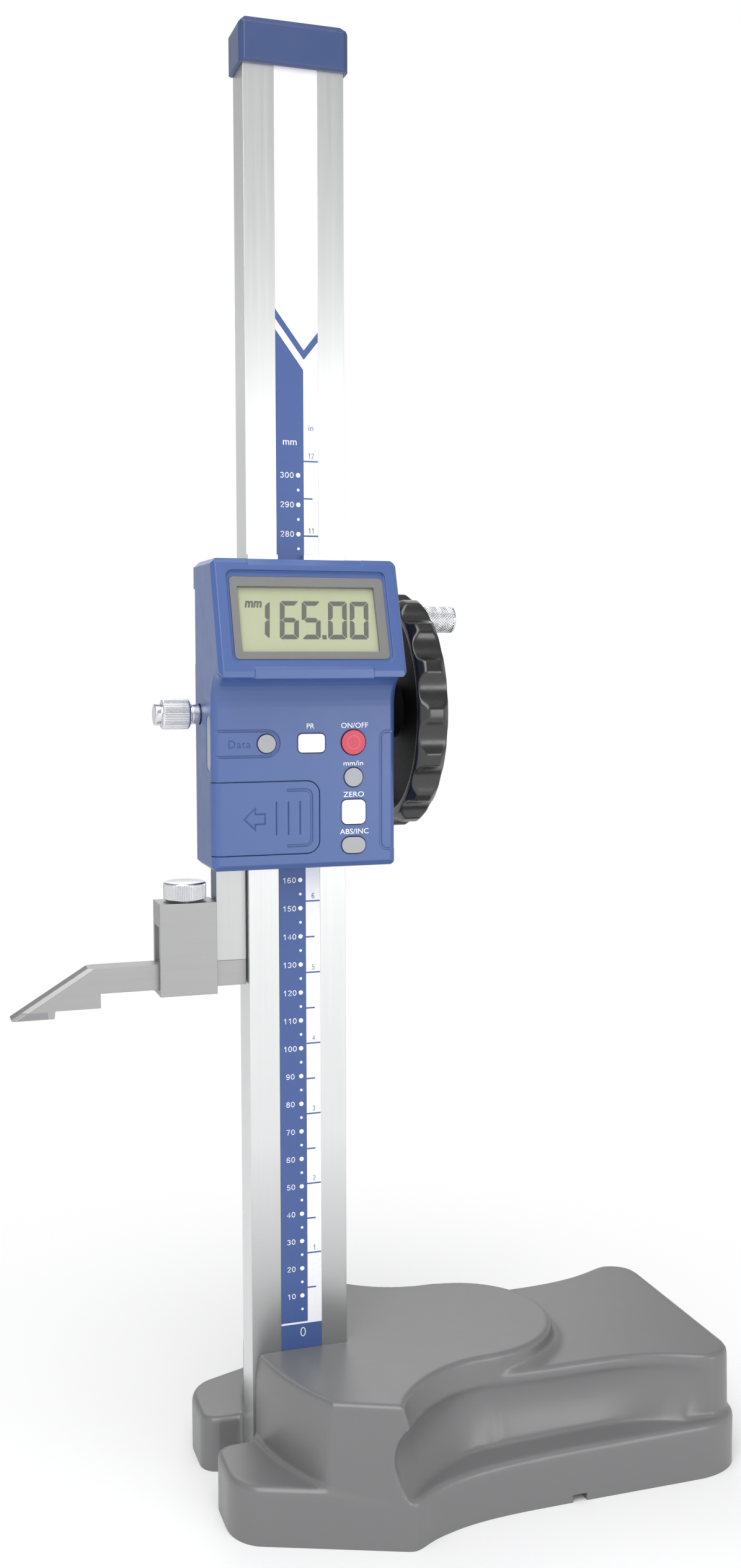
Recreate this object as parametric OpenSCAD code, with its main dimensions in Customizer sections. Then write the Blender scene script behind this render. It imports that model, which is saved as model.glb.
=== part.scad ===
// Digital height gauge: slotted cast base, steel beam with printed scale, rack-driven slider,
// sloped display housing, hand wheel with crank knob, measuring arm and clamped scriber.
// Millimetres. +Z up from the surface plate, -Y towards the reader, +X towards the hand wheel.
// The origin is on the base's bottom face, under the middle of the beam.

/* [Node] */
// Which node to draw

/* [Beam] */
// Beam width along X
beam_w = 35; // [24:60]
// Beam depth along Y
beam_d = 14; // [10:24]
// Top of the beam
beam_top = 501; // [400:700]
// Height of the printed scale strip's foot
strip_z0 = 49.9; // [40:80]
// Width of the printed scale strip
strip_w = 15; // [8:20]
// Offset of the strip's middle from the beam's middle
strip_x = 0.67; // [-4:4]

/* [Rack and pinion] */
// Gear module
gear_m = 1; // [0.5:2]
// Pinion teeth
pinion_z = 16; // [12:30]
// Backlash taken off each rack tooth
backlash = 0.24; // [0.1:0.5]
// Pinion face width
pinion_w = 8; // [4:12]

/* [Base] */
// Height of the low flange round the base
plinth_h = 20.2; // [12:30]
// Height of the front block that holds the beam
front_h = 50; // [40:70]
// Height of the rear block
rear_h = 42.9; // [30:60]
// Half width of the slot that the arm sinks into
slot_half = 9.3; // [7:14]
// Floor left under the beam
beam_floor = 8; // [5:14]

/* [Housing] */
// Underside of the slider housing
house_z0 = 225.2; // [200:260]
// Top of the slider housing
house_z1 = 330; // [300:360]
// Left side of the housing
house_x0 = -32.8; // [-40:-28]
// Right side of the housing
house_x1 = 32; // [28:40]
// Front of the button face
face_y = -20; // [-26:-18]
// Front of the display's lip
lip_y = -32.5; // [-40:-26]
// Height of the display's lip
lip_z = 292.6; // [285:300]
// Housing wall
wall = 2; // [1.2:3]
// Gap round the buttons and the battery cover
gap = 0.3; // [0.2:0.6]

/* [Hand wheel] */
// Height of the wheel and lock screw axes
axis_z = 277.7; // [260:300]
// Radius over the grip crests
wheel_r = 42.4; // [30:60]
// Middle of the rim along X
rim_x = 43.8; // [40:60]
// Number of grip hollows
grips = 16; // [8:24]
// Distance of the crank knob from the wheel's axis
crank_r = 33.4; // [20:40]

/* [Arm and scriber] */
// Left side of the arm
arm_x0 = -28.4; // [-34:-24]
// Right side of the arm
arm_x1 = -18; // [-22:-17]
// Half thickness of the arm
arm_t = 4.1; // [3:6]
// Underside of the arm and top of the scriber
seat_z = 192; // [180:205]
// Height of the scriber bar
scriber_h = 8.9; // [6:12]
// Half thickness of the scriber
scriber_t = 3.9; // [2:5]
// Height of the scribing edge
edge_z = 175.5; // [165:180]
// Left end of the scriber
edge_x = -98.6; // [-120:-70]

/* [Hidden] */
$fn = 48;
BEAM_X = beam_w / 2;
BEAM_Y = beam_d / 2;
PITCH_R = gear_m * pinion_z / 2;
RACK_LINE = BEAM_Y - gear_m;
SHAFT_Y = RACK_LINE + PITCH_R;
KNOB_Y = SHAFT_Y - 4;
KNOB_Z = axis_z + sqrt(crank_r * crank_r - 16);
SLOPE = atan2(house_z1 - lip_z, face_y - lip_y);
COVE_R = 10;
COVE_Z = 280.5;
NOTCH_Z = 320.8;
LIP_TAB = [[lip_y + 2, 294.4], [lip_y + 0.15, 294.1], [lip_y - 0.4, 293.2], [lip_y - 0.4, 290.1],
  [lip_y + 2, 290.1]];
TOP_BAND = [[face_y - 0.8, house_z1 - 2.2], [face_y + 2, house_z1], [face_y + 2, house_z1 + 1],
  [face_y - 2, house_z1 + 1], [face_y - 2, house_z1 - 2.2]];
FIT = 0.05;
SLIDE = 0.08;
BOX_Y = 6.3;
BOX_X0 = -48.6;
BOX_X1 = arm_x0 - 0.3;
CLAMP_X = (BOX_X0 + BOX_X1) / 2;
CELL_X = -14;
CELL_Z = 243;
BLUE = [0.27, 0.38, 0.66];
STEEL = [0.75, 0.76, 0.77];
CAST = [0.5, 0.5, 0.51];

// Mitred outward normal at corner i of a counter-clockwise outline.
function edge_n(a, b) = let(d = b - a, l = norm(d)) [d[1] / l, -d[0] / l];
function corner_n(p, i) = let(
  n = len(p),
  a = edge_n(p[(i + n - 1) % n], p[i]),
  b = edge_n(p[i], p[(i + 1) % n]),
  s = a + b) s / max(0.5, 1 + a * b);
function arc(cx, cy, r, a0, a1, n) =
  [for (k = [0 : n]) let(a = a0 + (a1 - a0) * k / n) [cx + r * cos(a), cy + r * sin(a)]];
function flip(p) = [for (k = [len(p) - 1 : -1 : 0]) [p[k][0], -p[k][1]]];

// Solid between stacked rings, each mirrored about Y = 0. ladder closes a top that isn't flat.
module loft(rows, ladder = false) {
  full = [for (r = rows) concat(r, [for (k = [len(r) - 1 : -1 : 0]) [r[k][0], -r[k][1], r[k][2]]])];
  n = len(full[0]);
  m = len(full);
  t = (m - 1) * n;
  side = [for (j = [0 : m - 2]) for (i = [0 : n - 1]) for (h = [0, 1])
    let(a = j * n + i, b = j * n + (i + 1) % n) h == 0 ? [a, a + n, b] : [b, a + n, b + n]];
  top = ladder ? [for (k = [0 : n / 2 - 2]) each [
      [t + k, t + n - 1 - k, t + k + 1], [t + k + 1, t + n - 1 - k, t + n - 2 - k]]]
    : [[for (i = [n - 1 : -1 : 0]) t + i]];
  polyhedron(points = [for (r = full) each r], faces = concat([[for (i = [0 : n - 1]) i]], side, top),
    convexity = 8);
}
function normals(half) = let(p = concat(half, flip(half))) [for (i = [0 : len(half) - 1]) corner_n(p, i)];
function shift(p, v, z) = [p[0] + v[0], p[1] + v[1], z];

// Low flange, as [x, y, how far its top is below plinth_h].
PLINTH = [[-32.2, -27.5, 0], [-31.9, -31.2, 0], [-30.6, -35.2, 0], [-28.5, -38.6, 0],
  [-25.4, -41.4, 0], [-22, -43, 0], [-3, -50.54, 0], [6, -54.12, 1.2], [22.2, -60.55, 3],
  [24.2, -61.1, 3], [26, -60.9, 3], [28.4, -59.7, 2.8], [31.4, -57.9, 2.6], [35.4, -56, 2.3],
  [40, -54.4, 2], [47, -52.5, 1.8], [56, -51.1, 1.5], [68, -50.3, 1.1], [85, -50.1, 0.6],
  [110, -50.1, 0.3], [136, -50.1, 0], [142, -49.8, 0], [147, -48.6, 0], [151.6, -46.4, 0],
  [155.2, -43.2, 0], [157.4, -38.8, 0], [158.1, -33, 0]];
PLINTH_N = normals([for (p = PLINTH) [p[0], p[1]]]);
PLINTH_ROWS = [for (r = [[0, -0.2, 0], [0.2, 0, 0], [plinth_h - 1.8, -0.3, 1],
  [plinth_h - 0.8, -0.6, 1], [plinth_h - 0.25, -1.2, 1], [plinth_h, -2.1, 1]])
  [for (k = [0 : len(PLINTH) - 1])
    shift(PLINTH[k], PLINTH_N[k] * r[1], r[0] - PLINTH[k][2] * r[2])]];
// Slot between the toes.
SLOT = [[-45, -17], [-32.4, -17], [-31.9, -14], [-30.7, -11.7], [-28.8, -10.1],
  [-26.2, -slot_half], [-BEAM_X, -slot_half]];
SLOT_ROWS = [for (r = [[-1, 0], [plinth_h - 1.6, 0], [plinth_h - 0.6, 0.35], [plinth_h, 1.1],
  [plinth_h + 2, 3]]) [for (k = [0 : len(SLOT) - 1])
    [SLOT[k][0], SLOT[k][1] - (k == 0 ? 0 : r[1]), r[0]]]];

// Hollowed side wall: t is 0 at the flange and 1 at the hollow's upper lip.
HOLLOW = [-0.14, 0, 0.035, 0.08, 0.14, 0.21, 0.3, 0.42, 0.56, 0.7, 0.82, 0.9, 0.96, 1];
function flare(t) = t <= 0 ? 1 : pow(max(0, 1 - t / 0.45), 3);
function depth(t) = t <= 0 || t >= 1 ? 0 : pow(sin(180 * pow(t, 1.27)), 0.65);
ROUND = [0, 30, 60, 90];
// Side blocks' corners: [x, y, foot flare, hollow depth, foot height, lip height, draft].
FLAT = [0.9293, -0.3694];
FRONT = concat(
  [for (p = arc(74.3, 0, 91.15, 184.7, 213.2, 8)) [p[0], p[1], 0, 0, 19, 41.6, 1.2]],
  [[22.8, -60.85, 0, 5.2, 16.8, 41.8, 1.8], [26.6, -55.9, 0.9, 4.4, 16.9, 41.6, 2.9],
   [31.2, -50.6, 2.1, 3.8, 17.3, 41.3, 3], [36, -46, 3.3, 3.3, 17.8, 41.1, 2.8],
   [41.2, -42, 4.4, 3, 18.1, 40.8, 2.5], [46.8, -38.6, 5.3, 2.8, 18.3, 40.5, 1.9],
   [52.8, -36.2, 6.2, 2.7, 18.5, 40.2, 1.3], [59, -34.9, 7, 2.6, 18.8, 39.9, 0.9],
   [65.4, -34.5, 7, 2.6, 19, 39.6, 0.8]],
  [for (p = arc(65.3, 0, 33.8, -80, -3, 11)) [p[0], p[1], 0, 0, 19.2, 39.4, 0.6]]);
FRONT_FLAT = 9;
REAR = [[48, -20, 0, 0, 19, 39.4, 0.2], [60, -31.6, 4, 1, 19, 39.4, 0.2],
  [68, -33.4, 6.6, 2.4, 19, 39.4, 0.2], [74, -34.3, 6.9, 2.6, 19.2, 39.3, 0.2],
  [80, -34.8, 6.6, 2.8, 19.4, 39.2, 0.2], [90, -34.9, 6, 2.8, 19.6, 39.2, 0.2],
  [100, -34.9, 5.7, 2.8, 19.7, 39.2, 0.2], [108, -35.1, 5.8, 2.8, 19.8, 39.2, 0.2],
  [115, -35.7, 6.2, 2.8, 19.9, 39.2, 0.2], [121, -36.6, 6.8, 2.8, 20, 39.2, 0.2],
  [127, -37.9, 7.8, 2.8, 20, 39.2, 0.2], [132, -39.5, 8.8, 2.7, 20, 39.1, 0.2],
  [136.5, -41.3, 8.4, 2.2, 20, 38.9, 0.2], [140, -42.9, 4.6, 1.2, 20, 38.6, 0.2],
  [143, -44.1, 1.6, 0.3, 20, 38.4, 0.2], [146, -44.6, 1, 0, 20, 38.4, 0.2],
  [149.4, -43.8, 0.8, 0, 20, 38.4, 0.2], [152.8, -41.7, 0.8, 0, 20, 38.4, 0.2],
  [155.3, -38.4, 0.8, 0, 20, 38.4, 0.2], [156.2, -34, 0.8, 0, 20, 38.4, 0.2]];
// Which way a corner follows the hollow, and how it moves in from a height above the lip.
function way(q, nn, k, flat) = k == flat ? FLAT * 1.01 : nn[k];
function upper(q, nn, k, flat) = k == flat ? FLAT * -q[6] : (k == flat - 1 ? FLAT : nn[k] * -q[6]);
function block_rows(p, nn, flat, top, r) = concat(
  [[for (k = [0 : len(p) - 1]) shift(p[k], (k == flat || k == flat - 1) ? [0, 0] : nn[k] * -1.5, 8)]],
  [for (t = HOLLOW) [for (k = [0 : len(p) - 1]) let(q = p[k])
    shift(q, way(q, nn, k, flat) * (q[2] * (t < 0 ? 0.55 : flare(t)) - q[3] * depth(t)),
      q[4] + (q[5] - q[4]) * t)]],
  [for (a = ROUND) [for (k = [0 : len(p) - 1]) let(q = p[k])
    shift(q, upper(q, nn, k, flat) - nn[k] * r * (1 - cos(a)), top - r * (1 - sin(a)))]]);

// Hollow blend where the round lobe meets the rear block's top.
BLEND = [[[-1.5, rear_h - 1], [3, rear_h - 0.05], [3, rear_h + 0.02], [1.3, rear_h + 0.75],
  [-1.5, rear_h + 0.75]], [[-1.5, rear_h], [1.3, rear_h + 0.74], [0.35, rear_h + 2.9],
  [-1.5, rear_h + 2.9]]];
module blend() {
  for (a = [-60 : 10 : 50]) for (w = BLEND) hull() for (b = [a, a + 10])
    translate([65.3, 0, 0]) rotate([0, 0, b]) translate([33.2, 0, 0]) rotate([90, 0, 0])
      linear_extrude(height = 0.02, center = true) polygon(w);
}

module base() {
  color(CAST) difference() {
    union() {
      blend();
      loft(PLINTH_ROWS, true);
      loft(block_rows(FRONT, normals(FRONT), FRONT_FLAT, front_h, 1.8));
      loft(block_rows(REAR, normals(REAR), -5, rear_h, 2));
    }
    loft(SLOT_ROWS);
    translate([-BEAM_X, -BEAM_Y, beam_floor]) cube([beam_w, beam_d, front_h]);
    for (x = [-9, 9]) translate([x, 0, -1]) cylinder(r = 3.2, h = beam_floor + 2);
    for (x = [-9, 9]) translate([x, 0, -1]) cylinder(r = 5.4, h = 5.4);
    translate([87.6, -60, -1]) cube([5.4, 120, 3.7]);
  }
}

module beam() {
  color(STEEL) difference() {
    translate([-BEAM_X, -BEAM_Y, beam_floor]) cube([beam_w, beam_d, beam_top - beam_floor]);
    translate([strip_x - strip_w / 2, -BEAM_Y - 1, strip_z0]) cube([strip_w, 1.5, beam_top]);
    translate([-4.6, RACK_LINE - 2.2, 52]) cube([9.2, 5, beam_top]);
    for (x = [-9, 9]) translate([x, 0, beam_floor - 1]) cylinder(r = 3, h = 17);
    for (z = [498]) for (x = [-12, 12]) translate([x, BEAM_Y - 5, z]) rotate([-90, 0, 0])
      cylinder(r = 1, h = 8);
  }
}

module rack() {
  p = PI * gear_m;
  half = p / 4 - backlash / 2;
  lean = gear_m * tan(20);
  count = 140;
  z0 = axis_z - floor((axis_z - 56) / p) * p - p / 2;
  root = RACK_LINE - 1.25 * gear_m;
  tip = RACK_LINE + 0.96 * gear_m;
  teeth = [for (k = [0 : count - 1]) let(c = z0 + k * p) each [
    [c - half - lean * 1.25, root], [c - half + lean * 0.96, tip],
    [c + half - lean * 0.96, tip], [c + half + lean * 1.25, root]]];
  color(STEEL) translate([-4.4, 0, 0]) rotate([90, 0, 90]) linear_extrude(height = 8.8)
    polygon([for (q = concat([[52.2, RACK_LINE - 2.15], [52.2, root]], teeth,
      [[beam_top - 0.2, root], [beam_top - 0.2, RACK_LINE - 2.15]])) [q[1], q[0]]]);
}

module scale_strip() {
  color([0.3, 0.4, 0.68]) translate([strip_x - strip_w / 2, -BEAM_Y + 0.15, strip_z0])
    cube([strip_w, 0.35, beam_top - strip_z0]);
}

module top_cap() {
  w = 18.9;
  d = 9;
  z0 = 494.6;
  color(BLUE) difference() {
    translate([0, 0, z0]) linear_extrude(height = 15) polygon([
      [-w + 1.6, -d], [w - 1.6, -d], [w, -d + 1.6], [w, d - 1.6], [w - 1.6, d],
      [-w + 1.6, d], [-w, d - 1.6], [-w, -d + 1.6]]);
    translate([-BEAM_X - FIT, -BEAM_Y - FIT, z0 - 1])
      cube([beam_w + 2 * FIT, beam_d + 2 * FIT, beam_top - z0 + 1.1]);
    for (s = [-1, 1]) translate([0, s * d, z0 + 15]) rotate([45, 0, 0])
      cube([60, 3.4, 3.4], center = true);
    for (s = [-1, 1]) translate([s * w, 0, z0 + 15]) rotate([0, 45, 0])
      cube([3.4, 60, 3.4], center = true);
    for (s = [-1, 1]) translate([0, s * d, z0]) rotate([45, 0, 0])
      cube([60, 1, 1], center = true);
    for (x = [-12, 12]) translate([x, 6, 498]) rotate([-90, 0, 0]) cylinder(r = 1.1, h = 6);
    for (x = [-12, 12]) translate([x, 8, 498]) rotate([-90, 0, 0]) cylinder(r = 2.1, h = 6);
  }
}

module cap_screws() {
  color(STEEL) for (x = [-12, 12]) translate([x, 0, 498]) difference() {
    union() {
      translate([0, 2.5, 0]) rotate([-90, 0, 0]) cylinder(r = 1, h = 5.6);
      translate([0, 8, 0]) rotate([-90, 0, 0]) cylinder(r = 1.9, h = 1);
    }
    translate([-3, 8.6, -0.25]) cube([6, 1, 0.5]);
  }
}

module beam_bolts() {
  color([0.25, 0.25, 0.27]) for (x = [-9, 9]) translate([x, 0, 0]) difference() {
    union() {
      translate([0, 0, 0.4]) cylinder(r = 5, h = 4);
      translate([0, 0, 4.3]) cylinder(r = 3, h = 17);
    }
    translate([0, 0, -1]) cylinder(r = 2.4, h = 3.8, $fn = 6);
  }
}

// Steel block that runs on the beam, with the bearing block behind it.
module slider_frame() {
  color(STEEL) difference() {
    union() {
      translate([arm_x0, -11, house_z0 + 2.3]) cube([54, 22, 100.5]);
      translate([-12, 10.9, axis_z - 15]) cube([37.6, 12.6, 30]);
    }
    translate([-19.3, -BEAM_Y - SLIDE, house_z0]) cube([19.3 + BEAM_X + SLIDE, beam_d + 2 * SLIDE, 110]);
    translate([-7.4, -12, house_z0]) cube([16.2, 6, 110]);
    translate([-5, 5, axis_z - 10]) cube([10, 10, 20]);
    translate([-5, SHAFT_Y, axis_z]) rotate([0, 90, 0]) cylinder(r = 9.4, h = 10);
    translate([-13, SHAFT_Y, axis_z]) rotate([0, 90, 0]) cylinder(r = 6.5, h = 40);
    translate([-30, 0, axis_z]) rotate([0, 90, 0]) cylinder(r = 3.06, h = 12);
    translate([-29, -arm_t, house_z0]) cube([7.4, 2 * arm_t, 36]);
    for (z = [238, 252]) translate([-24, 0, z]) rotate([0, 90, 0]) cylinder(r = 1.5, h = 3.6);
    for (x = [-22, 20]) for (z = [236, 310]) translate([x, 5.2, z]) rotate([-90, 0, 0])
      cylinder(r = 1.25, h = 7);
  }
}

module frame_bushes() {
  color([0.78, 0.62, 0.3]) for (v = [[-12, 6.9], [10, 15.6]]) difference() {
    translate([v[0], SHAFT_Y, axis_z]) rotate([0, 90, 0]) cylinder(r = 6.5, h = v[1]);
    translate([v[0] - 1, SHAFT_Y, axis_z]) rotate([0, 90, 0]) cylinder(r = 4.05, h = 20);
  }
}

module gib_strip() {
  color([0.8, 0.66, 0.34]) translate([-19.25, -BEAM_Y + 0.3, 232]) cube([1.67, beam_d - 0.6, 92]);
}

module measuring_arm() {
  color(STEEL) difference() {
    union() {
      translate([arm_x0, -arm_t, seat_z]) cube([arm_x1 - arm_x0, 2 * arm_t, house_z0 + 2.3 - seat_z]);
      translate([arm_x0, -arm_t, seat_z]) cube([6.8, 2 * arm_t, house_z0 + 36 - seat_z]);
      translate([-46, -arm_t, seat_z]) cube([18, 2 * arm_t, 12.2]);
    }
    for (z = [238, 252]) translate([-30, 0, z]) rotate([0, 90, 0]) cylinder(r = 1.6, h = 12);
    for (z = [238, 252]) translate([-30, 0, z]) rotate([0, 90, 0]) cylinder(r = 2.8, h = 4);
  }
}

module arm_screws() {
  color([0.3, 0.3, 0.32]) for (z = [238, 252]) translate([-28.2, 0, z]) difference() {
    union() {
      rotate([0, 90, 0]) cylinder(r = 2.6, h = 2.2);
      rotate([0, 90, 0]) cylinder(r = 1.5, h = 7.6);
    }
    translate([-1, 0, 0]) rotate([0, 90, 0]) cylinder(r = 1.3, h = 2.2, $fn = 6);
  }
}

module beam_wiper() {
  color([0.62, 0.63, 0.64]) difference() {
    translate([-17.7, -10, house_z1 - 2]) cube([34.2, 2.6, 4.1]);
    translate([-7.2, -12, house_z1 - 0.4]) cube([9.2, 6, 4]);
  }
}

// Side profile of the front cover, pulled in by t.
function side_profile(t) = concat(
  [[6.3, house_z0 + t], [face_y + 1.6 + t, house_z0 + t], [face_y + t, house_z0 + 1.8 + t * 0.4]],
  [for (k = [0 : 8]) let(a = 90 * k / 8)
    [face_y - COVE_R + (COVE_R + t) * cos(a), COVE_Z + (COVE_R + t) * sin(a)]],
  [[lip_y + t * 1.1, 290.5 + t], [lip_y + t * 1.1, lip_z + t * 0.2],
   [face_y - 0.42 + t * 1.06, house_z1 - 1.3 - t * 0.3], [face_y + 1 + t * 0.8, house_z1 - t],
   [6.3, house_z1 - t]]);
module across(x0, x1) {
  translate([x0, 0, 0]) rotate([90, 0, 90]) linear_extrude(height = x1 - x0) children();
}
module on_slope() {
  translate([0, face_y, house_z1]) rotate([SLOPE, 0, 0]) children();
}
module rounded(x0, x1, z0, z1, r) {
  for (x = [x0 + r, x1 - r]) for (z = [z0 + r, z1 - r]) translate([x, z]) circle(r = r);
  translate([x0 + r, z0]) square([x1 - x0 - 2 * r, z1 - z0]);
  translate([x0, z0 + r]) square([x1 - x0, z1 - z0 - 2 * r]);
}
// A rounded rectangle on the button face, from y0 back to y1.
module on_face(y0, y1) {
  translate([0, y1, 0]) rotate([90, 0, 0]) linear_extrude(height = y1 - y0) children();
}
module button_shapes(g) {
  translate([-14.1, 268.1]) circle(r = 3.1 + g);
  rounded(-3.1 - g, 6.2 + g, 264.9 - g, 271.2 + g, 1.4 + g);
  translate([16.5, 268.1]) circle(r = 4.2 + g);
  translate([16.5, 256.1]) circle(r = 3.2 + g);
  rounded(12.3 - g, 20.7 + g, 240 - g, 248.3 + g, 1.8 + g);
  rounded(12.3 - g, 20.7 + g, 229.9 - g, 235.4 + g, 2.7 + g);
}
module cover_shape(g) {
  difference() {
    rounded(-40, 4.3 + g, 230.5 - g, 255.1 + g, 4.4 + g);
    translate([-60, 200]) square([60 + house_x0 - 1, 100]);
  }
}
// Waste at a rounded corner, from the corner at the origin towards +X and +Y.
module corner_waste(r) {
  difference() {
    translate([-1, -1]) square([r + 1, r + 1]);
    translate([r, r]) circle(r = r + 0.12);
  }
}
// Rounded front-left and front-right corners of the button face and of the cove above it.
module face_corners(r) {
  for (s = [0, 1]) mirror([s, 0, 0]) translate([-(s == 0 ? -house_x0 : house_x1), 0, 0]) {
    translate([0, face_y, 220]) linear_extrude(height = COVE_Z - 220) corner_waste(r);
    translate([0, face_y - COVE_R, COVE_Z]) rotate([90, 0, 90]) rotate_extrude(angle = 84)
      translate([COVE_R, 0]) corner_waste(r);
  }
}

module front_cover() {
  sx = [house_x0, house_x1];
  color(BLUE) difference() {
    union() {
      across(house_x0, house_x1) polygon(side_profile(0));
      translate([house_x0, 6.2, NOTCH_Z]) cube([house_x1 - house_x0, 1.6, house_z1 - NOTCH_Z]);
      intersection() {
        across(-22, 21) polygon(LIP_TAB);
        translate([0, 0, 280]) linear_extrude(height = 20)
          polygon([[-22, -30], [-20.4, -34], [19.4, -34], [21, -30]]);
      }
    }
    difference() {
      across(house_x0 + wall, house_x1 - wall) polygon(side_profile(wall));
      on_face(-19, -14.4) translate([CELL_X, CELL_Z]) circle(r = 12.2);
      translate([house_x0, -21, 228.5]) cube([37.2, 3.3, 28.6]);
    }
    translate([house_x0 + wall, 6.2, 320]) cube([house_x1 - house_x0 - 2 * wall, 3, house_z1 - 322]);
    face_corners(3);
    translate([house_x0 - 1, 5.7, 295]) cube([house_x1 - house_x0 + 2, 3, NOTCH_Z - 295]);
    translate([0, 7.8, house_z1]) rotate([45, 0, 0]) cube([80, 2.4, 2.4], center = true);
    for (x = sx) translate([x, lip_y, 290.5]) rotate([0, 45, 0]) cube([2.4, 9, 2.4], center = true);
    intersection() {
      across(-40, 40) polygon(TOP_BAND);
      on_slope() linear_extrude(height = 20, center = true)
        polygon([[-21, 6], [20.1, 6], [19.4, -2.4], [-20.3, -2.4]]);
    }
    translate([house_x1 - 0.4, -21, 230.7]) cube([2, 24, 41]);
    on_slope() for (x = sx) translate([x, -20, 0]) rotate([0, 45, 0])
      cube([2, 41, 2], center = true);
    for (x = sx) translate([x, -10, house_z1]) rotate([0, 45, 0]) cube([2.6, 60, 2.6], center = true);
    for (x = sx) translate([x, -10, house_z0]) rotate([0, 45, 0]) cube([2, 60, 2], center = true);
    translate([-18.6, -11.2, house_z1 - 3]) cube([37.2, 30, 6]);
    translate([arm_x0 - 0.1, -BEAM_Y - 0.6, house_z0 - 1]) cube([18.3 - arm_x0 + 0.1, 20, 3.4]);
    on_slope() linear_extrude(height = 20, center = true) rounded(-27, 26.6, -35.1, -6, 1.6);
    on_slope() translate([0, 0, -1]) linear_extrude(height = 3) rounded(-28, 27.4, -36.2, -4, 2.2);
    on_face(-21, -14) button_shapes(gap);
    on_face(-21, -18.4) cover_shape(gap);
    translate([house_x0 - 1, -18.5, 230.5 - gap]) cube([2.2 + gap, 1.4 + gap, 24.6 + 2 * gap]);
    on_face(-19, -14.9) translate([CELL_X, CELL_Z]) circle(r = 10.3);
    for (z = [238.5, 247.5]) on_face(-17, -12) translate([CELL_X, z]) square([3, 2.4], center = true);
    on_face(-21, face_y + 0.45) difference() {
      rounded(-60, -9.3, 263.4, 272.9, 4.7);
      rounded(-60, -10.1, 264.2, 272.1, 3.9);
    }
    on_face(-21, face_y + 0.35) difference() {
      rounded(25.9, 60, 230.4, 272.1, 2.8);
      rounded(26.8, 60, 231.3, 271.2, 1.9);
    }
    translate([house_x0 - 1, 0, axis_z]) rotate([0, 90, 0]) cylinder(r = 3.7, h = 4);
    across(house_x0 - 1, house_x0 + 3) rounded(-17.2, -11, 258.8, 277.8, 3);
  }
}

module rear_cover() {
  color([0.24, 0.34, 0.6]) difference() {
    union() {
      translate([-31, 6.35, house_z0 + 3]) cube([60.6, 6.2, 92.3]);
      translate([-15, 12, axis_z - 18]) cube([44.6, 14, 36]);
    }
    translate([-29, 5, house_z0]) cube([56.6, 6.1, 110]);
    translate([-13, 5, axis_z - 16]) cube([40.6, 19, 32]);
    translate([20, SHAFT_Y, axis_z]) rotate([0, 90, 0]) cylinder(r = 4.6, h = 12);
    for (x = [-22, 20]) for (z = [236, 310]) translate([x, 5, z]) rotate([-90, 0, 0])
      cylinder(r = 1.4, h = 9);
    for (v = [-1, 1]) translate([7.3, 26, axis_z + v * 18]) rotate([45, 0, 0])
      cube([60, 2.4, 2.4], center = true);
  }
}

module housing_screws() {
  color([0.3, 0.3, 0.32]) for (x = [-22, 20]) for (z = [236, 310]) translate([x, 0, z]) difference() {
    union() {
      translate([0, 5.5, 0]) rotate([-90, 0, 0]) cylinder(r = 1.25, h = 7.4);
      translate([0, 12.55, 0]) rotate([-90, 0, 0]) cylinder(r = 2.6, h = 1.4);
    }
    translate([-1.7, 13.2, -0.3]) cube([3.4, 1, 0.6]);
    translate([-0.3, 13.2, -1.7]) cube([0.6, 1, 3.4]);
  }
}

module display_bezel() {
  color([0.52, 0.53, 0.54]) on_slope() difference() {
    translate([0, 0, -2.4]) linear_extrude(height = 1.5) rounded(-26.9, 26.5, -35, -6.1, 1.5);
    translate([0, 0, -3]) linear_extrude(height = 4) rounded(-24.4, 23.2, -32.4, -9.5, 0.4);
  }
}

module lcd_window() {
  color([0.8, 0.83, 0.72, 0.4]) on_slope() translate([0, 0, -2.4]) linear_extrude(height = 0.7)
    rounded(-24.3, 23.1, -32.3, -9.6, 0.3);
}

module lcd_panel() {
  color([0.76, 0.79, 0.62]) on_slope() translate([-26.8, -34.8, -4.6]) cube([53.2, 28.6, 2.15]);
}

module circuit_board() {
  color([0.1, 0.36, 0.2]) difference() {
    translate([-29.5, -13.4, 228.4]) cube([58.6, 1.5, 97]);
    for (x = [-27, 27]) for (z = [231, 322]) translate([x, -15, z]) rotate([-90, 0, 0])
      cylinder(r = 1.2, h = 4);
    translate([-31, -15, 233]) cube([8, 4, 8]);
  }
  color([0.06, 0.06, 0.07]) translate([-8, -14.7, 296]) cube([12, 1.3, 12]);
  color([0.06, 0.06, 0.07]) translate([10, -14.5, 282]) cube([8, 1.1, 5]);
  color([0.75, 0.75, 0.76]) translate([-16, -15.2, 282]) cube([7, 1.8, 2.6]);
}

module reader_head() {
  color([0.12, 0.3, 0.22]) translate([-6.6, -11.9, 250]) cube([14.4, 4.65, 60]);
}

module battery() {
  color([0.78, 0.79, 0.8]) union() {
    translate([CELL_X, -15, CELL_Z]) rotate([90, 0, 0]) cylinder(r = 8.7, h = 0.5);
    translate([CELL_X, -15.5, CELL_Z]) rotate([90, 0, 0]) cylinder(r = 10, h = 2.7);
  }
}

module battery_contacts() {
  color([0.82, 0.7, 0.35]) for (z = [238.5, 247.5]) union() {
    translate([CELL_X - 1, -15, z - 0.8]) cube([2, 1.6, 1.6]);
    translate([CELL_X - 1, -13.6, z - 0.8]) cube([2, 0.2, 1.6]);
  }
}

module data_port_plug() {
  color([0.78, 0.78, 0.8]) union() {
    across(house_x0 + 0.2, house_x0 + 1.9) rounded(-17.1, -11.1, 258.9, 277.7, 2.9);
    translate([house_x0 + 1.9, -16.2, 261.8]) cube([4.3, 2.4, 13]);
  }
}

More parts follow.
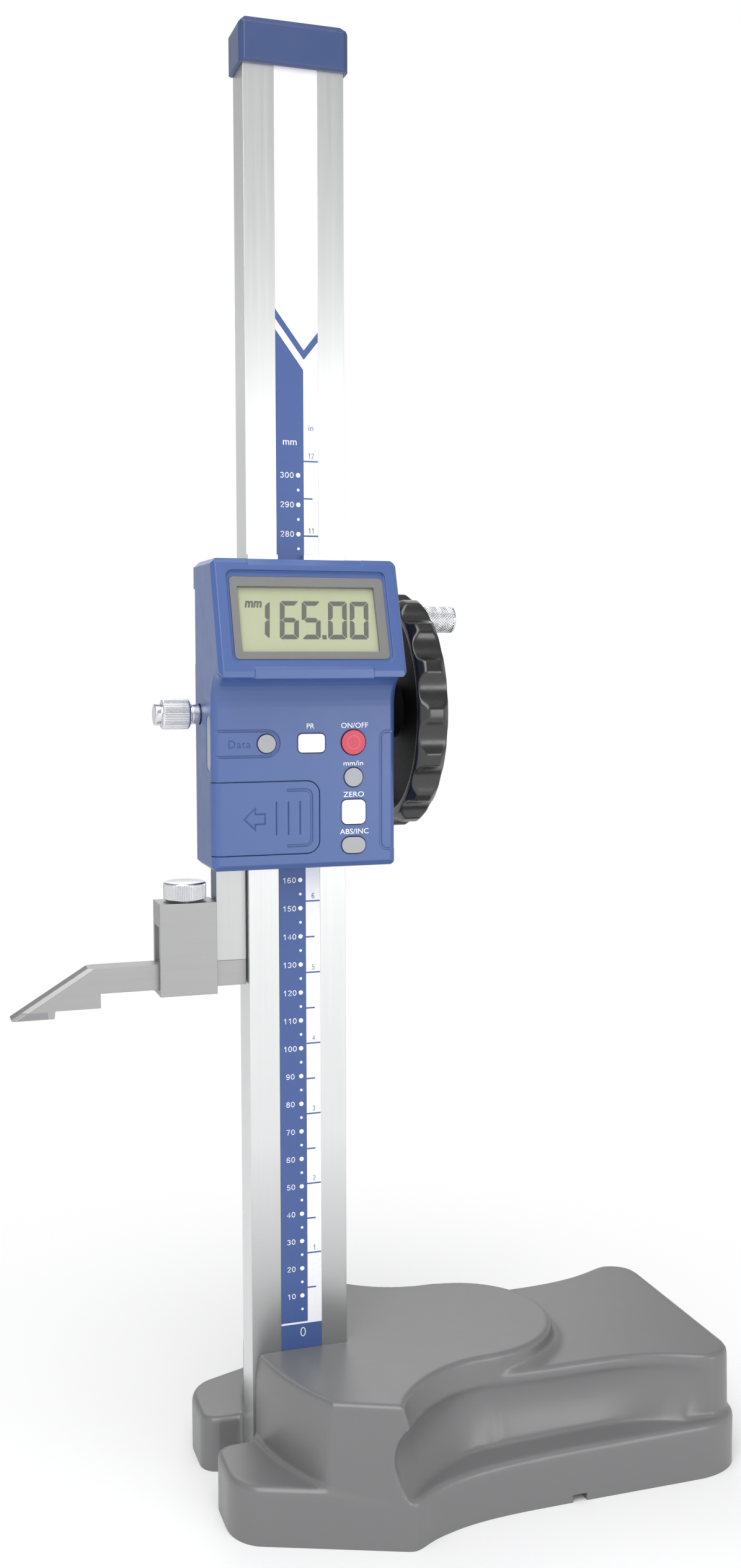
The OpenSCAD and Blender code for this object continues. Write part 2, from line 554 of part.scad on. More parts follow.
module battery_cover() {
  color(BLUE) difference() {
    union() {
      on_face(face_y, -18.8) intersection() {
        cover_shape(0);
        translate([house_x0, 200]) square([80, 80]);
      }
      translate([house_x0, -19, 230.5]) cube([1.2, 1.9, 24.6]);
    }
    translate([house_x0, face_y, 220]) difference() {
      translate([-1, -1, 0]) cube([4, 4, 60]);
      translate([3, 3, -1]) cylinder(r = 3, h = 62);
    }
    on_face(-21, face_y + 0.45) difference() {
      rounded(-9, 2, 232.7, 252.6, 2.6);
      rounded(-20, 1.1, 233.6, 251.7, 1.9);
      translate([-12, 225]) square([5, 40]);
    }
    for (x = [-10.8, -6.6, -2.5]) on_face(-21, face_y + 0.35) translate([x - 0.2, 237])
      square([0.4, 11.3]);
    on_face(-21, face_y + 0.3) difference() {
      polygon([[-22.3, 242.6], [-18, 246.7], [-18, 244.5], [-14.6, 244.5], [-14.6, 240.7],
        [-18, 240.7], [-18, 238.5]]);
      polygon([[-21.6, 242.6], [-18.4, 245.7], [-18.4, 244.1], [-15, 244.1], [-15, 241.1],
        [-18.4, 241.1], [-18.4, 239.5]]);
    }
  }
}

// Push buttons: a cap that stands out of the face and a flange behind it.
module button(c) {
  color(c) union() {
    on_face(face_y - 0.5, -17.6) children(0);
    on_face(-17.7, -16.8) children(1);
  }
}
module data_button() {
  button([0.72, 0.72, 0.74]) {
    translate([-14.1, 268.1]) circle(r = 3.1);
    translate([-14.1, 268.1]) circle(r = 3.7);
  }
}
module pr_button() {
  button([0.93, 0.93, 0.92]) {
    rounded(-3.1, 6.2, 264.9, 271.2, 1.4);
    rounded(-3.7, 6.8, 264.3, 271.8, 1.8);
  }
}
module power_button() {
  button([0.84, 0.22, 0.32]) {
    translate([16.5, 268.1]) circle(r = 4.2);
    translate([16.5, 268.1]) circle(r = 4.8);
  }
}
module unit_button() {
  button([0.72, 0.72, 0.74]) {
    translate([16.5, 256.1]) circle(r = 3.2);
    translate([16.5, 256.1]) circle(r = 3.8);
  }
}
module zero_button() {
  button([0.93, 0.93, 0.92]) {
    rounded(12.3, 20.7, 240, 248.3, 1.8);
    rounded(11.7, 21.3, 239.4, 248.9, 2.2);
  }
}
module abs_button() {
  button([0.72, 0.72, 0.74]) {
    rounded(12.3, 20.7, 229.9, 235.4, 2.7);
    rounded(11.7, 21.3, 229.3, 236, 3.2);
  }
}

// Dished wheel with tapered rim sides and hollows for the fingers.
module hand_wheel() {
  x0 = rim_x - 5.3;
  x1 = rim_x + 5.3;
  color([0.09, 0.09, 0.1]) difference() {
    union() {
      translate([0, SHAFT_Y, axis_z]) rotate([0, 90, 0]) rotate_extrude($fn = 96) polygon([
        [4, x0 - 2], [9, x0 - 2], [9.6, x0 - 1.4], [10, rim_x - 0.5], [33, rim_x + 0.6],
        [36.2, rim_x - 2.4], [36.6, x0 + 0.6], [37.2, x0], [40.1, x0], [wheel_r, rim_x - 2.85],
        [wheel_r, rim_x + 2.85], [40.1, x1], [37.4, x1], [35.4, rim_x + 3.6], [10, rim_x + 2.6],
        [9.4, x1 + 0.6], [4, x1 + 0.6]]);
      translate([rim_x + 1, KNOB_Y, KNOB_Z]) rotate([0, 90, 0]) cylinder(r = 3.4, h = 5);
    }
    for (k = [0 : grips - 1]) translate([x0 - 1, SHAFT_Y, axis_z])
      rotate([360 * (k + 0.5) / grips, 0, 0]) translate([0, 0, wheel_r + 5.8])
      rotate([0, 90, 0]) cylinder(r = 8.6, h = 14);
    translate([rim_x - 4, KNOB_Y, KNOB_Z]) rotate([0, 90, 0]) cylinder(r = 1.5, h = 12);
  }
}

module wheel_shaft() {
  color(STEEL) difference() {
    translate([-12.6, SHAFT_Y, axis_z]) rotate([0, 90, 0]) cylinder(r = 4, h = rim_x + 5.9 + 12.6 + 2.6);
    translate([-13, SHAFT_Y, axis_z]) rotate([0, 90, 0]) cylinder(r = 1, h = 2.4);
  }
}

// Straight-flanked teeth with rounded-off tips, narrow enough to roll clear of the rack.
function tooth(a) = let(
  rr = PITCH_R - 1.2 * gear_m, rt = PITCH_R + 0.95 * gear_m, q = 90 / pinion_z) [
  [rr, a - q * 1.42], [PITCH_R - 0.55 * gear_m, a - q * 1.24], [PITCH_R, a - q * 0.94],
  [PITCH_R + 0.5 * gear_m, a - q * 0.6], [rt, a - q * 0.3], [rt, a + q * 0.3],
  [PITCH_R + 0.5 * gear_m, a + q * 0.6], [PITCH_R, a + q * 0.94],
  [PITCH_R - 0.55 * gear_m, a + q * 1.24], [rr, a + q * 1.42]];
module pinion() {
  pts = [for (k = [0 : pinion_z - 1]) each tooth(360 * k / pinion_z)];
  color([0.7, 0.7, 0.68]) translate([-pinion_w / 2, SHAFT_Y, axis_z]) rotate([0, 90, 0]) difference() {
    rotate([0, 0, -90]) linear_extrude(height = pinion_w)
      polygon([for (q = pts) [q[0] * cos(q[1]), q[0] * sin(q[1])]]);
    translate([0, 0, -1]) cylinder(r = 4, h = pinion_w + 2);
  }
}

module wheel_nut() {
  color(STEEL) translate([rim_x + 5.9, SHAFT_Y, axis_z]) rotate([0, 90, 0]) difference() {
    union() {
      cylinder(r = 7.2, h = 0.9);
      translate([0, 0, 0.8]) cylinder(r = 6, h = 3.4, $fn = 6);
      translate([0, 0, 4]) cylinder(r = 4.6, h = 1);
    }
    translate([0, 0, -1]) cylinder(r = 4, h = 3.6);
  }
}

module crank_pin() {
  color(STEEL) translate([0, KNOB_Y, KNOB_Z]) rotate([0, 90, 0]) difference() {
    union() {
      translate([0, 0, rim_x - 1]) cylinder(r = 1.5, h = 62.6 - rim_x + 1);
      translate([0, 0, 62.5]) cylinder(r = 2.7, h = 1.2);
    }
    translate([0, 0, 63.1]) cylinder(r = 1.2, h = 2, $fn = 6);
  }
}

module crank_knob() {
  color(STEEL) translate([50.6, KNOB_Y, KNOB_Z]) rotate([0, 90, 0]) difference() {
    rotate_extrude($fn = 64) polygon([[1.56, 0], [4.3, 0], [4.75, 0.5], [4.75, 12.9],
      [4.3, 13.4], [3.1, 13.4], [3.1, 11.5], [1.56, 11.5]]);
  }
}

module lock_screw() {
  color(STEEL) translate([0, 0, axis_z]) rotate([0, 90, 0]) difference() {
    rotate_extrude($fn = 64) polygon([[0, -48.7], [3.2, -48.7], [3.75, -48.2], [3.75, -46.2],
      [4.6, -46.2], [5.15, -45.7], [5.15, -37], [4.6, -36.5], [3, -36.5], [3, -35.8], [3.5, -35.8],
      [3.5, -33.1], [3, -33.1], [3, -20.6], [0, -20.6]]);
    translate([0, 0, -22.6]) cylinder(r = 1.6, h = 4);
  }
}

module lock_tip() {
  color([0.8, 0.66, 0.34]) translate([-22.6, 0, axis_z]) rotate([0, 90, 0]) union() {
    cylinder(r = 1.6, h = 2.1);
    translate([0, 0, 2.05]) cylinder(r = 2.6, h = 0.95);
  }
}

// Rectangular clamp round the arm's foot and the scriber.
module scriber_clamp() {
  color(STEEL) difference() {
    translate([BOX_X0, -BOX_Y, 180.9]) cube([BOX_X1 - BOX_X0, 2 * BOX_Y, 32.1]);
    translate([BOX_X0 - 1, -4.45, 182.8]) cube([30, 8.9, 22.1]);
    translate([CLAMP_X, 0, 200]) cylinder(r = 2.56, h = 20);
  }
}

module clamp_screw() {
  color(STEEL) translate([CLAMP_X, 0, 0]) rotate_extrude($fn = 64) polygon([
    [0, 204.5], [2, 204.5], [2.5, 205], [2.5, 213.6], [6.9, 213.6], [7.4, 214.1], [7.4, 219.2],
    [6.8, 219.8], [0, 219.8]]);
}

// Outline of the scriber seen from the front.
SCRIBER = [[arm_x1, seat_z - scriber_h], [arm_x1, seat_z - 0.08], [-72.8, seat_z - 0.08],
  [edge_x, edge_z + 0.5], [edge_x + 0.2, edge_z], [-84.3, edge_z], [-84, edge_z + 2.6],
  [-68.7, edge_z + 2.6], [-68.7, seat_z - scriber_h]];
module scriber_solid() {
  run = -72.8 - edge_x;
  rise = seat_z - edge_z - 0.58;
  difference() {
    translate([0, scriber_t, 0]) rotate([90, 0, 0]) linear_extrude(height = 2 * scriber_t)
      polygon(SCRIBER);
    for (s = [-1, 1]) translate([edge_x, s * scriber_t, edge_z + 0.5])
      rotate([0, -atan2(rise, run), 0]) rotate([s * 45, 0, 0])
      translate([31, 0, 0]) cube([66, 1.6, 1.6], center = true);
  }
}
module tip_box() {
  translate([edge_x - 1, -6, edge_z - 1]) cube([13, 12, 3.4]);
}
module scriber() {
  color(STEEL) difference() {
    scriber_solid();
    tip_box();
  }
}
module carbide_tip() {
  color([0.42, 0.42, 0.43]) intersection() {
    scriber_solid();
    tip_box();
  }
}

base();
beam();
rack();
scale_strip();
top_cap();
cap_screws();
beam_bolts();
slider_frame();
frame_bushes();
gib_strip();
measuring_arm();
arm_screws();
beam_wiper();
front_cover();
rear_cover();
housing_screws();
display_bezel();
lcd_window();
lcd_panel();
circuit_board();
reader_head();
battery();
battery_contacts();
data_port_plug();
battery_cover();
data_button();
pr_button();
power_button();
unit_button();
zero_button();
abs_button();
hand_wheel();
wheel_shaft();
pinion();
wheel_nut();
crank_pin();
crank_knob();
lock_screw();
lock_tip();
scriber_clamp();
clamp_screw();
scriber();
carbide_tip();
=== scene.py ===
"""Finishes, casting, wheel, knurls, print, display, light and camera for a digital height gauge.

Sizes are millimetres in the CAD frame: +X to the hand wheel, -Y to the reader, +Z up, and
mm() or a plane's matrix turns them into metres.
"""
import math

import bmesh
import bpy
from mathutils import Matrix, Vector

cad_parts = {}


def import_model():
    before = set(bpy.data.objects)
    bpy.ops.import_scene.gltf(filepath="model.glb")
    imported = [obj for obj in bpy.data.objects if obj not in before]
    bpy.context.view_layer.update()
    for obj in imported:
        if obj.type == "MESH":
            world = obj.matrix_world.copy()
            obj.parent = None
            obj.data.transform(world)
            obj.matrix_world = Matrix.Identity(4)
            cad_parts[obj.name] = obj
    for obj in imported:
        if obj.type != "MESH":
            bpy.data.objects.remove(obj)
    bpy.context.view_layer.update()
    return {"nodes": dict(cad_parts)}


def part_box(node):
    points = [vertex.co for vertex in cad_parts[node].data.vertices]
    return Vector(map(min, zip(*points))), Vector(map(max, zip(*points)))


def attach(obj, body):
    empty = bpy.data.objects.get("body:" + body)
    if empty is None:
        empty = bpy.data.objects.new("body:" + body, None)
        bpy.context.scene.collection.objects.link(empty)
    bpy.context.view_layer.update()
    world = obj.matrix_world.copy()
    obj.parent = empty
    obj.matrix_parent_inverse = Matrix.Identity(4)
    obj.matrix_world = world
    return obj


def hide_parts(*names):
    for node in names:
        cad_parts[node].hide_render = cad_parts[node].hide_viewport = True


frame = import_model()
MM = 0.001
NODE = frame["nodes"]


def mm(x, y, z):
    return Vector((x, y, z)) * MM


def low(node):
    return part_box(node)[0] / MM


def high(node):
    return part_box(node)[1] / MM


# Places that the frame gives
STRIP = (low("scale_strip"), high("scale_strip"))
COVER = (low("front_cover"), high("front_cover"))
SHAFT_Y = (low("wheel_shaft").y + high("wheel_shaft").y) / 2
AXIS_Z = (low("wheel_shaft").z + high("wheel_shaft").z) / 2
# Radii on the hand wheel where its dish ends and where its rim begins
DISH_R = 34.5
RIM_R = 37.0

# The button face, and how far the display's slope is turned up from lying flat
FACE_Y = -20.0
SLOPE = math.radians(71.52)


def plane(origin, tilt):
    """The matrix that lays a drawing on a flat surface through origin."""
    return Matrix.Translation(origin * MM) @ Matrix.Rotation(tilt, 4, "X") @ Matrix.Scale(MM, 4)


ON_FACE = plane(Vector((0, FACE_Y, 0)), math.pi / 2)
ON_STRIP = plane(Vector((0, STRIP[0].y, 0)), math.pi / 2)
ON_SLOPE = plane(Vector((0, FACE_Y, COVER[1].z)), SLOPE)


# Node trees

def srgb(r, g, b):
    """A colour written as 0 to 255, as the linear colour that Blender's sockets take."""
    return tuple((c / 255) ** 2.2 for c in (r, g, b)) + (1.0,)


class Nodes:
    """A node tree, and short ways to add to it."""

    def __init__(self, tree):
        self.tree = tree

    def add(self, kind, inputs=None, **settings):
        """A new node with its settings made and its inputs set or linked."""
        node = self.tree.nodes.new(kind)
        for key, value in settings.items():
            setattr(node, key, value)
        for key, value in (inputs or {}).items():
            self.put(node.inputs[key], value)
        return node

    def put(self, socket, value):
        if isinstance(value, bpy.types.NodeSocket):
            self.tree.links.new(value, socket)
        else:
            socket.default_value = value

    def math(self, operation, a, b=0.0):
        return self.add("ShaderNodeMath", {0: a, 1: b}, operation=operation).outputs[0]

    def axis(self, vector, name):
        return self.add("ShaderNodeSeparateXYZ", {0: vector}).outputs[name]

    def ramp(self, value, start, end, a=0.0, b=1.0, blend="LINEAR"):
        """a where value is at start, b where it is at end, and a blend between them."""
        inputs = {"Value": value, "From Min": start, "From Max": end, "To Min": a, "To Max": b}
        return self.add("ShaderNodeMapRange", inputs, interpolation_type=blend).outputs[0]


class Finish(Nodes):
    """A new material's node tree, with noise, relief and softened edges for its surface."""

    def __init__(self, name):
        self.material = bpy.data.materials.new(name)
        self.material.use_nodes = True
        super().__init__(self.material.node_tree)
        self.shader = self.tree.nodes["Principled BSDF"]
        self.place = self.add("ShaderNodeTexCoord").outputs["Object"]

    def stretched(self, scale):
        """The object's own place in millimetres, scaled along each axis."""
        inputs = {"Vector": self.place, "Scale": [s / MM for s in scale]}
        return self.add("ShaderNodeMapping", inputs).outputs[0]

    def noise(self, size, detail=3.0, rough=0.55):
        """Noise with features of about size millimetres. size may be one number or one per axis."""
        sizes = size if isinstance(size, tuple) else (size,) * 3
        at = self.stretched([1 / s for s in sizes])
        node = self.add("ShaderNodeTexNoise", {"Vector": at, "Scale": 1.0, "Detail": detail,
                                               "Roughness": rough})
        return node.outputs["Fac"]

    def between(self, value, a, b):
        """value 0 to 1 mapped to the range a to b."""
        return self.ramp(value, 0.0, 1.0, a, b)

    def mix(self, factor, a, b):
        return self.add("ShaderNodeMix", {0: factor, 6: a, 7: b}, data_type="RGBA").outputs[2]

    def soft_edges(self, radius):
        return self.add("ShaderNodeBevel", {"Radius": radius * MM}, samples=6).outputs[0]

    def bump(self, height, depth, normal=None):
        """A relief of depth millimetres."""
        inputs = {"Height": height, "Distance": depth * MM, "Strength": 1.0}
        if normal is not None:
            inputs["Normal"] = normal
        return self.add("ShaderNodeBump", inputs).outputs[0]

    def edge(self, normal):
        """1 on a softened edge and 0 on the flat beside it."""
        true = self.add("ShaderNodeNewGeometry").outputs["Normal"]
        dot = self.add("ShaderNodeVectorMath", {0: normal, 1: true}, operation="DOT_PRODUCT")
        return self.ramp(dot.outputs["Value"], 0.99, 0.8)

    def set(self, **values):
        names = {"colour": "Base Color", "rough": "Roughness", "metal": "Metallic",
                 "normal": "Normal", "coat": "Coat Weight", "coat_rough": "Coat Roughness",
                 "alpha": "Alpha", "grain": "Anisotropic",
                 "specular": "Specular IOR Level"}
        for key, value in values.items():
            self.put(self.shader.inputs[names[key]], value)
        return self.material


def tinted(colour, factor):
    """A darker or lighter copy of a colour."""
    return tuple(min(1.0, c * factor) for c in colour[:3]) + (1.0,)


def paint(name, colour, radius=0.5):
    """Sprayed paint: a fine orange-peel relief, slow changes of tone and a painted highlight that
    lightens its edges.
    """
    f = Finish(name)
    normal = f.soft_edges(radius)
    tone = f.mix(f.noise(38.0, 2.0), tinted(colour, 0.94), tinted(colour, 1.06))
    speck = f.mix(f.noise(0.5, 2.0), tinted(colour, 0.965), tinted(colour, 1.035))
    body = f.mix(0.5, tone, speck)
    # Edges are lightened as a painted highlight.
    shade = f.mix(f.math("MULTIPLY", f.edge(normal), 0.5), body, tinted(colour, 1.25))
    return f.set(colour=shade, rough=f.between(f.noise(6.0), 0.32, 0.43),
                 normal=f.bump(f.noise(0.9, 2.0), 0.006, normal), specular=0.9)


def ground(name, colour, along, rough=0.3, radius=0.25, base_reflection=()):
    """Ground steel with fine parallel marks. along is the axis the marks run on.

    Where two heights are given, the front faces carry a painted reflection of the grey base: darker up to
    the first height and clear from the second.
    """
    f = Finish(name)
    normal = f.soft_edges(radius)
    marks = tuple(24.0 if axis == along else 0.16 for axis in "xyz")
    broad = tuple(90.0 if axis == along else 1.5 for axis in "xyz")
    fine = f.noise(marks, 4.0, 0.7)
    wide = f.noise(broad, 3.0)
    both = f.math("ADD", f.math("MULTIPLY", fine, 0.6), f.math("MULTIPLY", wide, 0.4))
    shade = f.mix(both, tinted(colour, 0.9), tinted(colour, 1.06))
    # Painted reflection of the grey base: front faces darken towards the foot.
    if base_reflection:
        facing = f.add("ShaderNodeNewGeometry").outputs["Normal"]
        front = f.math("MULTIPLY", f.axis(facing, "Y"), -1.0)
        foot = f.ramp(f.axis(f.place, "Z"), base_reflection[1] * MM, base_reflection[0] * MM)
        reflection_mask = f.math("MULTIPLY", f.math("MAXIMUM", front, 0.0), foot)
        shade = f.mix(reflection_mask, shade, tinted(colour, 0.68))
    return f.set(colour=shade, metal=1.0, rough=f.between(both, rough - 0.07, rough + 0.09),
                 normal=f.bump(fine, 0.002, normal), grain=0.35)


def turned(name, colour, rough):
    """Lathe-turned or plated metal, with small pits."""
    f = Finish(name)
    normal = f.soft_edges(0.15)
    pits = f.noise(0.35, 3.0)
    shade = f.mix(f.noise(4.0, 2.0), tinted(colour, 0.92), tinted(colour, 1.05))
    return f.set(colour=shade, metal=1.0, rough=f.between(pits, rough - 0.05, rough + 0.08),
                 normal=f.bump(pits, 0.003, normal))


def moulded(name, colour, rough, coat=0.0):
    """Moulded plastic with a fine etched grain."""
    f = Finish(name)
    normal = f.soft_edges(0.25)
    shade = f.mix(f.noise(9.0, 2.0), tinted(colour, 0.95), tinted(colour, 1.05))
    return f.set(colour=shade, rough=f.between(f.noise(3.0), rough - 0.04, rough + 0.05),
                 normal=f.bump(f.noise(0.25, 2.0), 0.004, normal), coat=coat, coat_rough=0.15)


def cast_paint(name, colour):
    """Grey enamel over cast iron: a smooth coat with the casting's slow waves under it, and a painted
    highlight that lightens its edges.
    """
    f = Finish(name)
    normal = f.soft_edges(0.4)
    waves = f.noise(7.0, 3.0, 0.5)
    peel = f.noise(0.7, 2.0)
    relief = f.math("ADD", f.math("MULTIPLY", waves, 0.55), f.math("MULTIPLY", peel, 0.08))
    tone = f.mix(f.noise(55.0, 2.0), tinted(colour, 0.95), tinted(colour, 1.05))
    speck = f.mix(f.noise(0.35, 2.0), tinted(colour, 0.93), tinted(colour, 1.07))
    body = f.mix(0.45, tone, speck)
    # Edges are lightened as a painted highlight.
    shade = f.mix(f.math("MULTIPLY", f.edge(normal), 0.35), body, tinted(colour, 1.3))
    return f.set(colour=shade, rough=f.between(f.noise(4.0), 0.31, 0.38),
                 normal=f.bump(relief, 0.03, normal), specular=0.75)


def printed(name, colour, rough=0.38):
    """Printing ink or a label's own face: nearly flat, with a slight mottle."""
    f = Finish(name)
    shade = f.mix(f.noise(1.2, 3.0), tinted(colour, 0.95), tinted(colour, 1.05))
    return f.set(colour=shade, rough=f.between(f.noise(0.6), rough - 0.05, rough + 0.05),
                 normal=f.bump(f.noise(0.2), 0.001))


def wheel_plastic(name, colour):
    """Black moulding, polished by hands on its rim and duller in the dish, whose colour is darkened as
    painted shade.
    """
    f = Finish(name)
    normal = f.soft_edges(0.3)
    away = [f.math("SUBTRACT", f.axis(f.place, axis), middle * MM)
            for axis, middle in (("Y", SHAFT_Y), ("Z", AXIS_Z))]
    square = f.math("ADD", *(f.math("MULTIPLY", d, d) for d in away))
    rim = f.ramp(f.math("SQRT", square), DISH_R * MM, RIM_R * MM)
    polish = f.between(f.noise(3.0), 0.22, 0.31)
    dull = f.between(f.noise(0.8), 0.55, 0.7)
    rough = f.add("ShaderNodeMix", {"Factor": rim, "A": dull, "B": polish}, data_type="FLOAT")
    worn = f.mix(f.noise(9.0, 2.0), tinted(colour, 0.88), tinted(colour, 1.12))
    # Painted shade: the dish, which faces the housing, is darkened.
    dish = f.mix(f.noise(5.0, 2.0), tinted(colour, 0.22), tinted(colour, 0.34))
    return f.set(colour=f.mix(rim, dish, worn), rough=rough.outputs[0], specular=f.between(rim, 0.3, 0.9),
                 normal=f.bump(f.noise(0.5, 2.0), 0.003, normal))


def liquid_crystal(name):
    """The display's reflector behind its glass: a pearly grain that is darker at the top."""
    f = Finish(name)
    fall = f.ramp(f.axis(f.place, "Z"), 298 * MM, 322 * MM)
    tone = f.mix(fall, srgb(170, 175, 141), srgb(161, 166, 131))
    grain = srgb(168, 173, 137)
    pearl = f.mix(f.noise(0.12, 2.0), tinted(grain, 0.93), tinted(grain, 1.07))
    return f.set(colour=f.mix(0.4, tone, pearl), rough=0.34,
                 normal=f.bump(f.noise(0.15), 0.002))


def window(name):
    """Clear acrylic, thin enough to let the display through."""
    f = Finish(name)
    f.material.surface_render_method = "BLENDED"
    clean = f.noise(5.0, 2.0)
    return f.set(colour=srgb(235, 240, 225), rough=f.between(clean, 0.03, 0.08), alpha=0.08)


def circuit(name):
    """A circuit board's lacquer, with lighter tracks that stand a little out of it."""
    f = Finish(name)
    tracks = f.add("ShaderNodeTexBrick", {"Vector": f.stretched((0.4, 0.4, 0.4)), "Scale": 1.0,
                                          "Mortar Size": 0.05})
    shade = f.mix(f.math("MULTIPLY", tracks.outputs["Fac"], 0.8), srgb(24, 92, 56), srgb(44, 130, 78))
    return f.set(colour=shade, rough=0.35, normal=f.bump(tracks.outputs["Fac"], 0.02))


STEEL = srgb(220, 221, 221)
# Finishes by material slot
FINISH = {
    "cast_grey": cast_paint("cast_grey_enamel", srgb(110, 110, 111)),
    "ground_steel": ground("ground_steel", STEEL, "z"),
    "hard_steel": ground("hardened_steel", srgb(205, 206, 209), "x", 0.34),
    "scale_print": printed("scale_white", srgb(240, 241, 245)),
    "housing_blue": paint("housing_blue", srgb(62, 89, 147)),
    "cap_blue": paint("cap_blue", srgb(44, 66, 114), radius=0.6),
    "black_screw": turned("black_oxide", srgb(58, 58, 62), 0.36),
    "bronze": turned("bronze", srgb(196, 158, 98), 0.3),
    "grey_plastic": moulded("bezel_grey", srgb(118, 118, 118), 0.4),
    "lcd_window": window("display_window"),
    "lcd_panel": liquid_crystal("display_panel"),
    "board_green": circuit("board_green"),
    "cell_steel": turned("cell_steel", srgb(214, 214, 216), 0.22),
    "contact_gold": turned("contact_gold", srgb(212, 176, 96), 0.25),
    "silver_plastic": moulded("silver_plastic", srgb(164, 166, 171), 0.36),
    "white_plastic": moulded("white_plastic", srgb(240, 240, 242), 0.3),
    "red_plastic": moulded("red_plastic", srgb(200, 46, 74), 0.3, coat=0.3),
    "wheel_black": wheel_plastic("wheel_black", srgb(24, 24, 26)),
    "knob_steel": turned("knob_steel", srgb(218, 219, 222), 0.24),
    "carbide": ground("carbide", srgb(150, 150, 152), "x", 0.3),
}
# Inks and small trim that the scene adds
PRINTS = {
    "blue": printed("scale_blue", srgb(66, 89, 144)),
    "white": printed("ink_white", srgb(246, 247, 250)),
    "numerals": printed("ink_slate", srgb(96, 110, 156)),
    "digits": printed("liquid_crystal_dark", srgb(24, 25, 23)),
    # Darker blue for the debossed word, as painted shade in its recess.
    "sunk": printed("debossed_shade_blue", srgb(48, 70, 126), 0.5),
    "rim": moulded("red_rim", srgb(222, 112, 132), 0.32),
}
SATIN = ground("satin_steel", srgb(168, 168, 168), "x", 0.42, radius=0.3)
# Nodes whose finish differs from their slot's
BY_NODE = {
    "scriber_clamp": SATIN,
    "scriber": SATIN,
    "measuring_arm": ground("arm_steel", srgb(194, 195, 195), "z", 0.34, radius=0.3),
    # The column's front carries a painted reflection of the base near its foot.
    "beam": ground("column_steel", STEEL, "z", base_reflection=(74, 128)),
}


def dress_nodes():
    """Gives every CAD node its own finish, or the finish of its material slot."""
    for name, node in NODE.items():
        for material_slot in node.material_slots:
            own = FINISH[material_slot.material.name.split(".")[0]]
            material_slot.material = BY_NODE.get(name, own)


# Mesh builders

BOX_FACES = [(0, 1, 3, 2), (4, 6, 7, 5), (0, 2, 6, 4), (1, 5, 7, 3), (0, 4, 5, 1), (2, 3, 7, 6)]


def box_corners(x, y, z):
    """The corners of a box between two values of x, y and z, in the order that BOX_FACES takes."""
    return [mm(a, b, c) for a in x for b in y for c in z]


def closed_mesh(name, points, faces):
    """A mesh with its doubled points joined and its faces turned outward."""
    mesh = bpy.data.meshes.new(name)
    mesh.from_pydata([tuple(p) for p in points], [], faces)
    work = bmesh.new()
    work.from_mesh(mesh)
    bmesh.ops.remove_doubles(work, verts=work.verts, dist=1e-7)
    bmesh.ops.recalc_face_normals(work, faces=work.faces)
    work.to_mesh(mesh)
    work.free()
    return mesh


def placed(name, mesh):
    made = bpy.data.objects.new(name, mesh)
    bpy.context.scene.collection.objects.link(made)
    return made


def piece(name, points, faces, finish, body, smooth=None, replaces=()):
    """A mesh object that rides on a body, with its points in metres in the frame.

    smooth is the angle in degrees up to which neighbouring faces shade as one surface.
    """
    mesh = closed_mesh(name, points, faces)
    mesh.materials.append(finish)
    if smooth:
        mesh.polygons.foreach_set("use_smooth", [True] * len(mesh.polygons))
        mesh.set_sharp_from_angle(angle=math.radians(smooth))
    made = placed(name, mesh)
    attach(made, body)
    if replaces:
        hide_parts(*replaces)


def skin(loops, n, closed=False):
    """Faces from each loop of n points to the next. closed joins the last loop to the first too."""
    pairs = [(k * n, (k + 1) % loops * n) for k in range(loops if closed else loops - 1)]
    return [[a + i, a + (i + 1) % n, b + (i + 1) % n, b + i] for a, b in pairs for i in range(n)]


def bow(x, y, rx, ry, start, end, steps=14):
    """Points along part of an ellipse, from one angle in degrees to another."""
    turns = [math.radians(start + (end - start) * k / steps) for k in range(steps + 1)]
    return [(x + rx * math.cos(a), y + ry * math.sin(a)) for a in turns]


def oval(x, y, rx, ry, sides=24):
    """Points round a whole ellipse."""
    return bow(x, y, rx, ry, 0, 360 - 360 / sides, sides - 1)


# Numerals one unit high, as the middle lines of their strokes and whether each is a closed loop
NUMERAL_WIDTH = 0.52
NUMERAL_PITCH = 0.62
SIX = [(oval(0.26, 0.31, 0.195, 0.245), True),
       (bow(0.275, 0.5, 0.21, 0.44, 38, 180) + [(0.065, 0.33)], False)]
NUMERALS = {
    "0": [(oval(0.26, 0.5, 0.2, 0.44), True)],
    "1": [([(0.1, 0.73), (0.2, 0.8), (0.3, 0.96)], False), ([(0.315, 1.0), (0.315, 0.0)], False)],
    "2": [(bow(0.26, 0.74, 0.195, 0.2, 170, -38) + [(0.08, 0.06), (0.47, 0.06)], False)],
    "3": [(bow(0.245, 0.735, 0.18, 0.2, 160, -85), False),
          (bow(0.245, 0.295, 0.2, 0.235, 88, -160), False)],
    "4": [([(0.36, 0.0), (0.36, 0.94), (0.05, 0.3), (0.5, 0.3)], False)],
    "5": [([(0.45, 0.935), (0.15, 0.935), (0.09, 0.48)]
           + bow(0.25, 0.32, 0.205, 0.255, 128, -155), False)],
    "6": SIX,
    "7": [([(0.05, 0.935), (0.46, 0.935), (0.29, 0.52), (0.2, 0.0)], False)],
    "8": [(oval(0.26, 0.745, 0.165, 0.19), True), (oval(0.26, 0.29, 0.2, 0.23), True)],
    "9": [([(NUMERAL_WIDTH - x, 1 - y) for x, y in line], closed) for line, closed in SIX],
}


